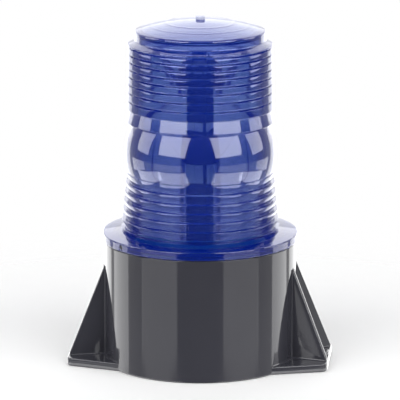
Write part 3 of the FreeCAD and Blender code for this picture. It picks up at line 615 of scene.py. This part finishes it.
# %% Ears with their bolt pads
EAR_REACH, EAR_HALF, EAR_CORNER = 53.6, 17.0, 3.0
EAR_THICKNESS, EAR_EDGE = 3.2, 0.45
ROOT_RADIUS, ROOT_HALF = 38.4, math.radians(39.9)
BOLT_PLACE, BOLT_HOLE = 47.0, 3.25
PAD_RADIUS, PAD_TOP, PAD_HOLE = 6.5, 4.4, 6.3
ear_corners = [
    (29.46, -24.6, 0),
    (EAR_REACH, -EAR_HALF, EAR_CORNER),
    (EAR_REACH, EAR_HALF, EAR_CORNER),
    (29.46, 24.6, 0),
]
ear_corners += [(*point, 0) for point in arc(ROOT_RADIUS, ROOT_HALF, -ROOT_HALF, 16)[1:-1]]
pad_corners = [
    (BOLT_HOLE, 0, 0.2),
    (PAD_RADIUS, 0, 0),
    (PAD_RADIUS, PAD_TOP, 0.4),
    (BOLT_HOLE, PAD_TOP, 0.4),
]
round_pad = even_angles(48)
pad_hole = [Vector((BOLT_PLACE + PAD_HOLE * math.cos(a), PAD_HOLE * math.sin(a))) for a in round_pad]
for half_turn in (0, math.pi):
    facing = Matrix.Rotation(half_turn, 4, "Z")
    add_slab(base_mesh, rounded(ear_corners, 8), 0, EAR_THICKNESS, EAR_EDGE, facing, pad_hole)
    pad_place = facing @ Matrix.Translation((BOLT_PLACE * MM, 0, 0))
    turn_section(base_mesh, rounded(pad_corners), round_pad, pad_place)
print("with ears the base has", len(base_mesh.faces), "faces")

# %% [markdown]
# Four thin webs brace the ears against the cup. They spread apart towards the ear tips, so each one is the
# same triangular plate, stood upright and turned to its own heading.

# %% Gussets that splay to the ear tips
GUSSET_FOOT = Vector((38.8, 7.4))
GUSSET_TIP = Vector((53.1, 11.6))
GUSSET_TOP, GUSSET_END = 41.0, 4.2
GUSSET_THICKNESS, GUSSET_EDGE = 2.2, 0.35
SUNK_IN_CUP, SUNK_IN_EAR = 1.5, 2.2
gusset_run = (GUSSET_TIP - GUSSET_FOOT).length
gusset_splay = math.atan2(GUSSET_TIP.y - GUSSET_FOOT.y, GUSSET_TIP.x - GUSSET_FOOT.x)
gusset_corners = [
    (-SUNK_IN_CUP, EAR_THICKNESS - SUNK_IN_EAR, 0),
    (gusset_run, EAR_THICKNESS - SUNK_IN_EAR, 0.3),
    (gusset_run, GUSSET_END, 0.6),
    (0, GUSSET_TOP, 0.5),
    (-SUNK_IN_CUP, GUSSET_TOP, 0),
]
upright = Matrix.Rotation(math.pi / 2, 4, "X")


def gusset_place(side_x, side_y):
    """Where a gusset stands: its outline's across runs out along the splay, its up stays up."""
    heading = gusset_splay * side_y if side_x > 0 else math.pi - gusset_splay * side_y
    foot = Vector((GUSSET_FOOT.x * side_x, GUSSET_FOOT.y * side_y, 0)) * MM
    return Matrix.Translation(foot) @ Matrix.Rotation(heading, 4, "Z")


corner_signs = [(1, 1), (-1, 1), (-1, -1), (1, -1)]
half_gusset = GUSSET_THICKNESS / 2
for signs in corner_signs:
    place = gusset_place(*signs) @ upright
    add_slab(base_mesh, rounded(gusset_corners), -half_gusset, half_gusset, GUSSET_EDGE, place)
print("with gussets the base has", len(base_mesh.faces), "faces")

# %% [markdown]
# Where two walls of a moulding meet, the tool leaves a small inside radius, and it catches a thin line of
# light. Each one is a strip with a curved face, laid along the corner and sunk into both walls.

# %% A strip along a corner
UP = Vector((0, 0, 1))
STRIP_SUNK = 0.2


def add_corner_strip(mesh, stations, reach, steps=5):
    """stations are (corner, way along one wall, way along the other), in millimetres."""
    rows = []
    for corner, one, other in stations:
        start = corner + one.normalized() * reach
        end = corner + other.normalized() * reach
        row = [corner - (one.normalized() + other.normalized()) * STRIP_SUNK]
        for share in even_steps(0, 1, steps):
            row.append(start.lerp(corner, share).lerp(corner.lerp(end, share), share))
        rows.append([mesh.verts.new(point * MM) for point in row])
    for first, second in zip(rows, rows[1:]):
        for side in range(len(first)):
            after = (side + 1) % len(first)
            mesh.faces.new((first[side], first[after], second[after], second[side]))
    mesh.faces.new(rows[0])
    mesh.faces.new(list(reversed(rows[-1])))


print("strips are ready:", add_corner_strip.__doc__)

# %% [markdown]
# A gusset meets the cup along an upright corner and the ear along a level one. The cup is round, so the
# corner lies where the face of the gusset meets the circle, and a little algebra finds that point.

# %% Strips on one face of a gusset
WALL_STRIP, EAR_STRIP = 0.5, 0.6
STRIP_STOP = 0.6


def gusset_strips(mesh, side_x, side_y, face):
    """Strips on one face of a gusset: down the cup wall and out along the ear."""
    place = gusset_place(side_x, side_y).to_3x3()
    outward = place @ Vector((1, 0, 0))
    normal = place @ Vector((0, face, 0))
    foot = Vector((GUSSET_FOOT.x * side_x, GUSSET_FOOT.y * side_y, 0)) + normal * half_gusset
    slide = foot.dot(outward)
    reach_in = -slide + math.sqrt(slide ** 2 - foot.length_squared + BASE_RADIUS ** 2)
    wall_foot = foot + outward * reach_in
    along_wall = wall_foot.cross(UP).normalized()
    if along_wall.dot(normal) < 0:
        along_wall = -along_wall
    down_wall = []
    for height in even_steps(EAR_THICKNESS, GUSSET_TOP - STRIP_STOP, 8):
        down_wall.append((wall_foot + UP * height, outward, along_wall))
    add_corner_strip(mesh, down_wall, WALL_STRIP)
    along_ear = []
    for run in even_steps(0, gusset_run - reach_in - STRIP_STOP, 6):
        along_ear.append((wall_foot + outward * run + UP * EAR_THICKNESS, normal, UP))
    add_corner_strip(mesh, along_ear, EAR_STRIP)


for signs in corner_signs:
    for face in (1, -1):
        gusset_strips(base_mesh, *signs, face)
print("with the gussets' radii the base has", len(base_mesh.faces), "faces")

# %% [markdown]
# The last inside radius runs round the foot of the cup, where it meets each ear.

# %% Strips round the foot of the cup
FOOT_TURN, FOOT_STRIP = 36.5, 0.9
for half_turn in (0, math.pi):
    ring_foot = []
    for turn in even_steps(-FOOT_TURN, FOOT_TURN, 32):
        angle = half_turn + math.radians(turn)
        away = Vector((math.cos(angle), math.sin(angle), 0))
        ring_foot.append((away * BASE_RADIUS + UP * EAR_THICKNESS, away, UP))
    add_corner_strip(base_mesh, ring_foot, FOOT_STRIP)
print("with inside radii the base has", len(base_mesh.faces), "faces")

# %% [markdown]
# Three posts inside the cup carry the driver board, each with a bore for a threaded insert and a web that
# ties it to the wall. They can't be seen from outside, but the board would hang in the air without them.

# %% Bosses for the driver board
BOSS_CIRCLE = 28.8
BOARD_UNDERSIDE = 37.98
BOSS_FOOT = FLOOR - 0.5
BOSS_RADIUS, INSERT_RADIUS, INSERT_DEPTH = 3.6, 2.15, 10
WEB_DROP = 2.4
boss_corners = [
    (0, BOSS_FOOT, 0),
    (BOSS_RADIUS, BOSS_FOOT, 0),
    (BOSS_RADIUS, BOARD_UNDERSIDE, 0.3),
    (INSERT_RADIUS, BOARD_UNDERSIDE, 0.2),
    (INSERT_RADIUS, BOARD_UNDERSIDE - INSERT_DEPTH, 0),
    (0, BOARD_UNDERSIDE - INSERT_DEPTH, 0),
]
web_outline = [Vector(end) for end in ((31.2, -1.2), (37.5, -1.2), (37.5, 1.2), (31.2, 1.2))]
for turn in (90, 210, 330):
    facing = Matrix.Rotation(math.radians(turn), 4, "Z")
    boss_place = facing @ Matrix.Translation((BOSS_CIRCLE * MM, 0, 0))
    turn_section(base_mesh, rounded(boss_corners), even_angles(32), boss_place)
    add_slab(base_mesh, web_outline, BOSS_FOOT, BOARD_UNDERSIDE - WEB_DROP, 0.2, facing)
add_piece("base_moulding", base_mesh, "base", "base_grey", "base_housing", crease=35)

# %% [markdown]
# ## The light tower
# Through the lens one sees a square tower: two tiers of LED boards on a metal core, with a black plinth,
# a clear sleeve, a collar and a cap. The round pieces are turned again with softened edges.

# %% Plinth, sleeve, cap and cable bush
plinth_corners = [
    (2.1, 39.62, 0.2), (11.5, 39.62, 0.3), (11.5, 42.02, 0.5), (9.8, 43.72, 0.6),
    (9.8, 50.02, 0.5), (8.3, 50.02, 0.2), (8.3, 45.02, 0.2), (2.1, 45.02, 0.1),
]
sleeve_corners = [(7.0, 45.04, 0.3), (8.2, 45.04, 0.3), (8.2, 83.64, 0.3), (7.0, 83.64, 0.3)]
cap_corners = [
    (1.7, 115.18, 0.2), (10.3, 115.18, 0.4), (10.3, 116.58, 0.5),
    (8.6, 122.78, 0.8), (7.8, 123.58, 0.6), (1.7, 123.58, 0.2),
]
bush_corners = [
    (3.0, 0.3, 0.6), (7.4, 0.3, 0.5), (7.4, 1.45, 0.1),
    (5.0, 1.45, 0.1), (5.0, 3.25, 0.1), (7.4, 3.25, 0.2),
    (7.4, 4.15, 0.4), (6.2, 5.05, 0.4), (3.0, 5.05, 0.5),
]
for name, corners, slot, node in (
    ("plinth_turning", plinth_corners, "black_moulding", "tower_plinth"),
    ("sleeve_tube", sleeve_corners, "clear_tube", "tower_sleeve"),
    ("cap_turning", cap_corners, "black_moulding", "tower_cap"),
    ("cable_bush", bush_corners, "seal_rubber", "cable_grommet"),
):
    round_mesh = bmesh.new()
    turn_section(round_mesh, rounded(corners), even_angles(96))
    add_piece(name, round_mesh, "base", slot, node)

# %% [markdown]
# Each side of a tier carries two LEDs. An LED of this kind is a pale square frame with a round, slightly
# crowned window of pale resin. A textured square would do from afar; real frames and windows also catch
# the light close up.

# %% LED packages with their windows
TOWER_TURN = -17
LED_FACE = 4.25
LED_SIZE = 3.4
LED_MIDDLE = -0.515
LED_SPACING = 3.6
LED_HEIGHT, LED_CORNER, LED_EDGE = 0.7, 0.2, 0.08
WINDOW_HOLE, WINDOW_COLUMNS = 1.4, 40
led_heights = {"lower": 81.14, "upper": 95.76}
half_led = LED_SIZE / 2
led_signs = ((-1, -1), (1, -1), (1, 1), (-1, 1))
package_outline = rounded([(half_led * x, half_led * y, LED_CORNER) for x, y in led_signs])
window_corners = [(0, 0.3, 0), (1.35, 0.3, 0), (1.35, 0.62, 0), (0.75, 0.76, 0.6), (0, 0.8, 0)]
window_hole = arc(WINDOW_HOLE, 0, 2 * math.pi, WINDOW_COLUMNS)[:-1]
for tier, height in led_heights.items():
    for step, side in enumerate(("front", "right", "back", "left")):
        facing = Matrix.Rotation(math.radians(TOWER_TURN + 90 * step), 4, "Z")
        frames = bmesh.new()
        windows = bmesh.new()
        for place in (-1, 1):
            middle = LED_MIDDLE + LED_SPACING * place / 2
            spot = facing @ Matrix.Translation(Vector((middle, -LED_FACE, height)) * MM) @ upright
            add_slab(frames, package_outline, 0, LED_HEIGHT, LED_EDGE, spot, window_hole)
            turn_section(windows, rounded(window_corners), even_angles(WINDOW_COLUMNS), spot)
        node = f"led_emitters_{tier}_{side}"
        add_piece(f"led_frames_{tier}_{side}", frames, "base", "led_emitter", node)
        add_piece(f"led_windows_{tier}_{side}", windows, "base", "led_emitter")

# %% [markdown]
# ## Finishes
# A finish is a small graph of nodes. Two helpers keep the graphs readable: a wire wraps an output socket
# so that sums and products can be written as plain expressions, and one method adds any other node.

# %% Wires


class Wire:
    """An output socket that takes part in arithmetic; each operation adds one Math node."""

    def __init__(self, finish, socket):
        self.finish = finish
        self.socket = socket

    def __add__(self, other):
        return self.finish.math("ADD", self, other)

    def __sub__(self, other):
        return self.finish.math("SUBTRACT", self, other)

    def __rsub__(self, other):
        return self.finish.math("SUBTRACT", other, self)

    def __mul__(self, other):
        return self.finish.math("MULTIPLY", self, other)

    __radd__ = __add__


print("reflected forms of a wire:", [name for name in vars(Wire) if name.startswith("__r")])

# %% [markdown]
# A finish owns the node tree of a material or of the world. Its one general method adds any shader node by
# its kind, with values or wires for its sockets and with its settings; the other methods are built on it.

# %% The graph of one finish


class Finish:
    """The node graph of one material or of the world."""

    def __init__(self, owner):
        owner.use_nodes = True
        self.owner = owner
        self.tree = owner.node_tree
        self.tree.nodes.clear()

    def node(self, kind, sockets=(), output=0, **settings):
        """Adds a shader node, sets it, fills or links its sockets, and returns one output."""
        node = self.tree.nodes.new("ShaderNode" + kind)
        for key, setting in settings.items():
            setattr(node, key, setting)
        for key, value in dict(sockets).items():
            if isinstance(value, Wire):
                self.tree.links.new(value.socket, node.inputs[key])
            else:
                node.inputs[key].default_value = value
        return Wire(self, node.outputs[output]) if node.outputs else None

    def math(self, operation, first, second):
        return self.node("Math", {0: first, 1: second}, operation=operation)

    def place(self):
        return self.node("TexCoord", output="Object")

    def ray(self, kind):
        """One for rays of a kind, such as Camera or Glossy, and zero for the others."""
        return self.node("LightPath", output=f"Is {kind} Ray")

    def noise(self, scale, detail=2.0, place=None):
        return self.node("TexNoise", {"Vector": place or self.place(), "Scale": scale, "Detail": detail})

    def smooth(self, value, low, high, first=0.0, last=1.0):
        """Runs from first to last, with soft ends, as the value goes from low to high."""
        sockets = {"Value": value, "From Min": low, "From Max": high, "To Min": first, "To Max": last}
        return self.node("MapRange", sockets, interpolation_type="SMOOTHSTEP")

    def bump(self, height, strength, distance):
        return self.node("Bump", {"Height": height, "Strength": strength, "Distance": distance})

    def between(self, share, first, second):
        """A colour that runs from the first to the second as share goes from 0 to 1."""
        return self.node("Mix", {0: share, 6: first, 7: second}, output=2, data_type="RGBA")

    def principled(self, **sockets):
        return self.node("BsdfPrincipled", {key.replace("_", " "): value for key, value in sockets.items()})

    def surface(self, **sockets):
        self.node("OutputMaterial", {"Surface": self.principled(**sockets)})
        return self.owner


def new_finish(name):
    return Finish(bpy.data.materials.new(name))


def shade(colour, share=1):
    """A colour made darker or lighter, as a node takes it."""
    return (*[min(1, channel * share) for channel in colour], 1)


finishes = {}
print("the list of finishes is ready")

# %% [markdown]
# Moulded plastics, rubber and lacquers differ in colour and gloss, but they share faint mottling in the
# colour, a gloss that varies a little, and a very fine surface texture. One helper makes all of them.

# %% Moulded finishes


def moulded(name, colour, roughness, grain, texture):
    """grain is the scale of the mottling per metre, texture the depth of the bump in metres."""
    finish = new_finish(name)
    mottle = finish.noise(grain)
    fine = finish.noise(grain * 9, 3.0)
    return finish.surface(
        Base_Color=finish.between(mottle, shade(colour, 0.82), shade(colour, 1.18)),
        Roughness=roughness * 0.75 + mottle * (roughness * 0.5),
        Specular_IOR_Level=0.2,
        Normal=finish.bump(fine, 0.25, texture),
    )


moulded_finishes = {
    "seal_rubber": ((0.012, 0.012, 0.013), 0.6, 120, 4e-5),
    "black_moulding": ((0.010, 0.010, 0.014), 0.35, 120, 2e-5),
    "capacitor_sleeve": ((0.02, 0.025, 0.06), 0.3, 90, 1e-5),
    "ferrite": ((0.05, 0.05, 0.052), 0.75, 200, 4e-5),
    "chip_black": ((0.02, 0.02, 0.02), 0.6, 300, 3e-5),
    "varistor_blue": ((0.04, 0.12, 0.38), 0.35, 150, 4e-5),
    "resistor_body": ((0.55, 0.45, 0.32), 0.45, 200, 3e-5),
    "terminal_green": ((0.06, 0.34, 0.16), 0.45, 120, 2e-5),
    "led_emitter": ((0.80, 0.80, 0.78), 0.35, 200, 1e-5),
}
for slot, values in moulded_finishes.items():
    finishes[slot] = moulded(slot, *values)
print("moulded finishes:", len(moulded_finishes))

# %% [markdown]
# The core, the screws, the threaded inserts and the copper winding are metal. Drawing and turning leave
# fine marks that run one way, so the noise is stretched that way before it drives the colour and the gloss.

# %% Metals


def metal(name, colour, roughness, brush):
    """brush scales the noise along each axis, so its smallest numbers are the way that the marks run."""
    finish = new_finish(name)
    stretched = finish.node("Mapping", {"Vector": finish.place(), "Scale": brush})
    marks = finish.noise(900.0, place=stretched)
    return finish.surface(
        Base_Color=finish.between(marks, shade(colour, 0.85), shade(colour)),
        Metallic=1.0,
        Roughness=roughness + marks * 0.15,
        Normal=finish.bump(marks, 0.1, 1e-5),
    )


metals = {
    "core_aluminium": ((0.72, 0.73, 0.75), 0.25, (1, 1, 0.05)),
    "screw_steel": ((0.60, 0.60, 0.61), 0.22, (1, 1, 0.3)),
    "insert_brass": ((0.70, 0.55, 0.25), 0.3, (1, 1, 0.1)),
    "winding_copper": ((0.62, 0.30, 0.14), 0.3, (0.1, 0.1, 2)),
}
for slot, values in metals.items():
    finishes[slot] = metal(slot, *values)
print("finishes so far:", len(finishes))

# %% [markdown]
# A board is glass fibre with copper tracks under a coloured lacquer, and the tracks raise the lacquer a
# little. A brick pattern with thin joints makes a net of tracks without any picture.

# %% Circuit boards
TRACK_WIDTH = 0.03


def board(name, mask):
    """Solder mask over copper tracks: tracks stand a little proud and look lighter."""
    finish = new_finish(name)
    tracks = finish.node(
        "TexBrick",
        {"Vector": finish.place(), "Scale": 180.0, "Mortar Size": TRACK_WIDTH, "Mortar Smooth": 0.3},
        output="Fac",
        offset=0.5,
    )
    speck = finish.noise(600)
    over_copper = (*[min(1, channel * 1.9 + 0.01) for channel in mask], 1)
    return finish.surface(
        Base_Color=finish.between(tracks, shade(mask), over_copper),
        Roughness=0.3 + speck * 0.15,
        Specular_IOR_Level=0.2,
        Normal=finish.bump(tracks, 0.3, 3e-5),
    )


for slot, mask in (("board_green", (0.02, 0.17, 0.08)), ("led_board_mask", (0.004, 0.010, 0.009))):
    finishes[slot] = board(slot, mask)
print("finishes so far:", len(finishes))

# %% [markdown]
# The tube round the lower tier is clear acrylic. Glass shaders block the straight path from a lamp, which
# would leave the tower in the dark. For shadow rays alone the tube therefore counts as transparent. A true
# caustic would light the tower as well, but it would take far longer to settle.

# %% Clear tube


def lit_inside(finish, shader, **depth):
    """Ends a clear finish so that lamps also light what stands behind it."""
    free = finish.node("BsdfTransparent")
    cast = finish.node("MixShader", {0: finish.ray("Shadow"), 1: shader, 2: free})
    finish.node("OutputMaterial", {"Surface": cast, **depth})
    return finish.owner


tube = new_finish("clear_tube")
acrylic = tube.principled(
    Base_Color=(0.92, 0.95, 0.98, 1),
    Roughness=0.02 + tube.noise(60) * 0.03,
    IOR=1.49,
    Transmission_Weight=1.0,
)
finishes["clear_tube"] = lit_inside(tube, acrylic)
print("the tube has", len(tube.tree.nodes), "nodes")

# %% [markdown]
# The base is a polished dark grey plastic. Its own colour is even, and what one sees on it are long clean
# reflections. Faint clouding in the colour and the gloss, and a very slight bump, keep it from looking like
# a perfect mirror.

# %% Glossy grey base
grey = new_finish("base_grey")
cloud = grey.noise(35, 3.0)
finishes["base_grey"] = grey.surface(
    Base_Color=grey.between(cloud, (0.043, 0.043, 0.054, 1), (0.052, 0.052, 0.065, 1)),
    Roughness=0.05 + cloud * 0.06,
    Normal=grey.bump(grey.noise(450, 3.0), 0.05, 2e-5),
)
print("the base has", len(grey.tree.nodes), "nodes")

# %% [markdown]
# The lens is dyed polycarbonate. Most of its colour comes from depth, so a volume absorbs red first and blue
# last, and thick edges go dark. A little dye also scatters light, which a thin share of blue haze stands
# for. The upper rings get a lighter tint, which is painted light: it stands in for the brighter look that
# light gives them. The torn stub in the middle of the dome is dull.

# %% Blue lens
# Heights where the painted light on the upper rings starts and reaches full strength.
PAINTED_LIGHT_START, PAINTED_LIGHT_FULL = 0.098, 0.106
CAP_START, CAP_FULL = 0.1365, 0.139
TEAR_HEIGHT = 0.1424
LENS_BENDING = 1.585
HAZE_SHARE = 0.155
blue = new_finish("lens_blue")
flow = blue.noise(40, 2.0)
ripple = blue.bump(flow, 0.02, 1e-4)
level = blue.node("SeparateXYZ", {"Vector": blue.place()}, output="Z")
# Painted light: above this height the tint turns lighter to stand in for brighter light on the upper rings,
# and it turns back on the dome.
painted_light_upper = blue.smooth(level, PAINTED_LIGHT_START, PAINTED_LIGHT_FULL)
domed = blue.smooth(level, CAP_START, CAP_FULL)
clear = blue.principled(
    Base_Color=blue.between(painted_light_upper - domed, (0.68, 0.70, 0.77, 1), (1.0, 1.0, 1.0, 1)),
    Roughness=0.01 + flow * 0.03,
    IOR=LENS_BENDING,
    Transmission_Weight=1.0,
    Normal=ripple,
)
haze = blue.principled(
    Base_Color=(0.0, 0.06, 1.0, 1),
    Roughness=0.1 + flow * 0.05,
    IOR=LENS_BENDING,
    Normal=ripple,
)
dyed = blue.node("MixShader", {0: HAZE_SHARE, 1: clear, 2: haze})
torn = blue.principled(
    Base_Color=blue.between(flow, (0.56, 0.58, 0.72, 1), (0.64, 0.66, 0.80, 1)),
    Roughness=0.6,
)
on_gate = blue.math("GREATER_THAN", level, TEAR_HEIGHT)
moulded_blue = blue.node("MixShader", {0: on_gate, 1: dyed, 2: torn})
depth = blue.node("VolumeAbsorption", {"Color": (0.08, 0.28, 0.49, 1), "Density": 220.0})
finishes["lens_blue"] = lit_inside(blue, moulded_blue, Volume=depth)
print("finishes:", len(finishes))

# %% [markdown]
# The packed model names a finish for each part, and each piece made here names one too. Both are looked up
# in the same list, so a part that was left as packed still matches its neighbours.

# %% Give every piece its finish
slots = {entry["node"]: entry["material_slot"] for entry in frame["record"]["subparts"]}
for name, node in frame["nodes"].items():
    node.data.materials.clear()
    node.data.materials.append(finishes[slots[name]])
dressed = 0
for piece in bpy.data.objects:
    if piece.type == "MESH" and piece.get("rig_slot"):
        piece.data.materials.clear()
        piece.data.materials.append(finishes[piece["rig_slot"]])
        dressed += 1
print("parts and pieces with a finish:", len(slots), "and", dressed)

# %% [markdown]
# ## Studio
# The photograph shows the beacon on white, under tall soft boxes. A wide pale floor carries a soft shadow.
# The floor is kept out of mirror reflections, as if it were clear glass over the same studio, so that the
# soft boxes and the reflector cards below it show in the polished base from top to bottom.

# %% Floor sheet
FLOOR_HALF, FLOOR_DROP = 6.0, 0.0002
floor_mesh = bmesh.new()
bmesh.ops.create_grid(floor_mesh, x_segments=8, y_segments=8, size=FLOOR_HALF)
floor_data = bpy.data.meshes.new("studio_floor")
floor_mesh.to_mesh(floor_data)
floor_mesh.free()
floor = bpy.data.objects.new("studio_floor", floor_data)
floor.location.z = -FLOOR_DROP
bpy.context.scene.collection.objects.link(floor)
print("the floor is", round(floor.dimensions.x, 1), "m wide")

# %% [markdown]
# The paper is matt, with a faint glow for the camera alone that keeps it pale. It fades into the white of
# the world away from the beacon, so no horizon shows, and a Light Path node takes it out of reflections.

# %% Floor finish
FLOOR_GLOW, FLOOR_WHITE = 0.14, 0.86
FADE_START, FADE_END = 0.06, 0.25
paper = new_finish("studio_paper")
lit = paper.ray("Camera")
glow = paper.node("Emission", {"Color": (1, 1, 1, 1), "Strength": lit * FLOOR_GLOW})
matt = paper.node("BsdfDiffuse", {"Color": (FLOOR_WHITE, FLOOR_WHITE, FLOOR_WHITE, 1)})
sheet = paper.node("AddShader", {0: matt, 1: glow})
gone = paper.node("BsdfTransparent")
unseen = paper.math("MAXIMUM", paper.ray("Glossy"), paper.ray("Transmission"))
distance = paper.node("VectorMath", {0: paper.place()}, output="Value", operation="LENGTH")
clear_share = paper.math("MAXIMUM", unseen, paper.smooth(distance, FADE_START, FADE_END))
shown = paper.node("MixShader", {0: clear_share, 1: sheet, 2: gone})
paper.node("OutputMaterial", {"Surface": shown})
floor.data.materials.append(paper.owner)
print("the floor finish has", len(paper.tree.nodes), "nodes")

# %% [markdown]
# The camera sees plain white. Polished surfaces see a dim room whose back is bright, and rays that have
# passed through the lens see a lit screen behind it that ends a little to each side. Real product
# photographs use such a screen to make clear plastic glow while its edges go dark.

# %% World
CAMERA_TURN = math.radians(5.3)
WORLD_LIGHT = 0.3
ROOM_DIM, ROOM_BRIGHT = 0.06, 1.0
SCREEN_BRIGHT, SCREEN_DIM = 1.1, 0.15
scene = bpy.context.scene
scene.world = bpy.data.worlds.new("studio")
sky = Finish(scene.world)
look = sky.node("TexCoord", output="Generated")


def along(way):
    """How far the ray's heading agrees with a direction."""
    return sky.node("VectorMath", {0: look, 1: way}, output="Value", operation="DOT_PRODUCT")


behind = along((-math.sin(CAMERA_TURN), math.cos(CAMERA_TURN), 0))
backdrop = sky.smooth(behind, -0.3, 0.9, ROOM_DIM, ROOM_BRIGHT)
aside = along((math.cos(CAMERA_TURN), math.sin(CAMERA_TURN), 0))
screen = sky.smooth(aside * aside, 0.03, 0.2, SCREEN_BRIGHT, SCREEN_DIM)
through = sky.ray("Transmission")
# A ray bent through something clear counts as glossy too, so those are taken out of the mirror rays.
mirror = sky.ray("Glossy") * (1 - through)
direct = sky.ray("Camera")
other = 1 - sky.math("MINIMUM", through + mirror + direct, 1.0)
strength = direct + mirror * backdrop + through * screen + other * WORLD_LIGHT
room = sky.node("Background", {"Color": (1, 1, 1, 1), "Strength": strength})
sky.node("OutputWorld", {"Surface": room})
print("the world has", len(sky.tree.nodes), "nodes")

# %% [markdown]
# Polished plastic shows its surroundings more than its own colour, so the studio is built from cards that
# show only in reflections: tall boxes in front, dim cards below eye level for the base, and pale cards
# behind for the outlines. Separate key lamps light the dull surfaces at a plain level.

# %% A lamp or a card
AIM = Vector((0, 0, 0.07))


def soft_box(name, distance, turn, rise, width, tall, radiance):
    """An area lamp that faces the beacon; turn and rise are in degrees, seen from the beacon.

    A lamp whose name ends in key lights the dull surfaces; the others only show in the polished ones.
    """
    key = name.endswith("key")
    data = bpy.data.lights.new(name, "AREA")
    data.shape = "RECTANGLE"
    data.size = width
    data.size_y = tall
    data.energy = radiance * math.pi * width * tall
    lamp = bpy.data.objects.new(name, data)
    heading = CAMERA_TURN + math.radians(turn)
    level = distance * math.cos(math.radians(rise))
    height = distance * math.sin(math.radians(rise))
    away = Vector((level * math.sin(heading), -level * math.cos(heading), height))
    lamp.location = AIM + away
    lamp.rotation_euler = (-away).to_track_quat("-Z", "Y").to_euler()
    lamp.visible_transmission = False
    lamp.visible_diffuse = key
    lamp.visible_glossy = not key
    scene.collection.objects.link(lamp)


print("lamps are ready:", soft_box.__doc__.split(";")[0])

# %% [markdown]
# The beacon is lit alike from both sides, so each lamp at the side is set up twice. Each line gives turn,
# rise, width, height and radiance; a radiance of 1 looks white where it is seen straight on.

# %% Place the lamps and cards
SIDE_DISTANCE, BACK_DISTANCE = 1.2, 1.4
side_lamps = {
    "key": (44, 40, 0.97, 0.83, 3.2),
    "box": (44, 24, 0.97, 0.83, 5.9),
    "rear_box": (98, 21.5, 0.60, 0.94, 4.0),
    "card": (50, -14, 0.97, 0.21, 1.18),
    "dim_card": (84, -14, 0.51, 0.21, 0.5),
    "low_card": (46, -31.5, 0.97, 0.46, 4.0),
    "rear_low_card": (90, -27, 0.97, 0.28, 4.0),
    "strip": (110, -14, 0.62, 0.21, 2.6),
    "rear_card": (152, -15, 0.80, 0.87, 2.0),
}
back_lamps = {
    "back_key": (180, 45, 1.4, 0.8, 1.6),
    "back_panel": (180, 30, 2.8, 0.99, 1.45),
    "back_strip": (180, 4, 2.8, 0.32, 0.5),
    "back_low_panel": (180, -20, 0.6, 0.8, 0.6),
    "top_box": (180, 75, 1.0, 1.0, 1.5),
}
for side, word in ((-1, "left"), (1, "right")):
    for kind, (turn, *others) in side_lamps.items():
        soft_box(f"{word}_{kind}", SIDE_DISTANCE, turn * side, *others)
for name, values in back_lamps.items():
    soft_box(name, BACK_DISTANCE, *values)
print("lamps and cards:", len(bpy.data.lights))

# %% [markdown]
# The view that fits the photograph is that of a long lens, from slightly above and a little to the right. A
# long lens keeps upright edges nearly parallel, as product pictures do.

# %% Camera
DISTANCE = 1.5
RISE = math.radians(12.84)
target = Vector((-0.0001, 0, 0.06704))
level = math.cos(RISE)
away = Vector((math.sin(CAMERA_TURN) * level, -math.cos(CAMERA_TURN) * level, math.sin(RISE)))
camera = bpy.data.objects.new("camera", bpy.data.cameras.new("camera"))
camera.data.lens = 328.7
camera.data.sensor_width = 36.0
camera.location = target + away * DISTANCE
camera.rotation_euler = (-away).to_track_quat("-Z", "Y").to_euler()
scene.collection.objects.link(camera)
scene.camera = camera
scene.view_settings.view_transform = "Standard"
print("the camera stands at", [round(place, 3) for place in camera.location])

# %% [markdown]
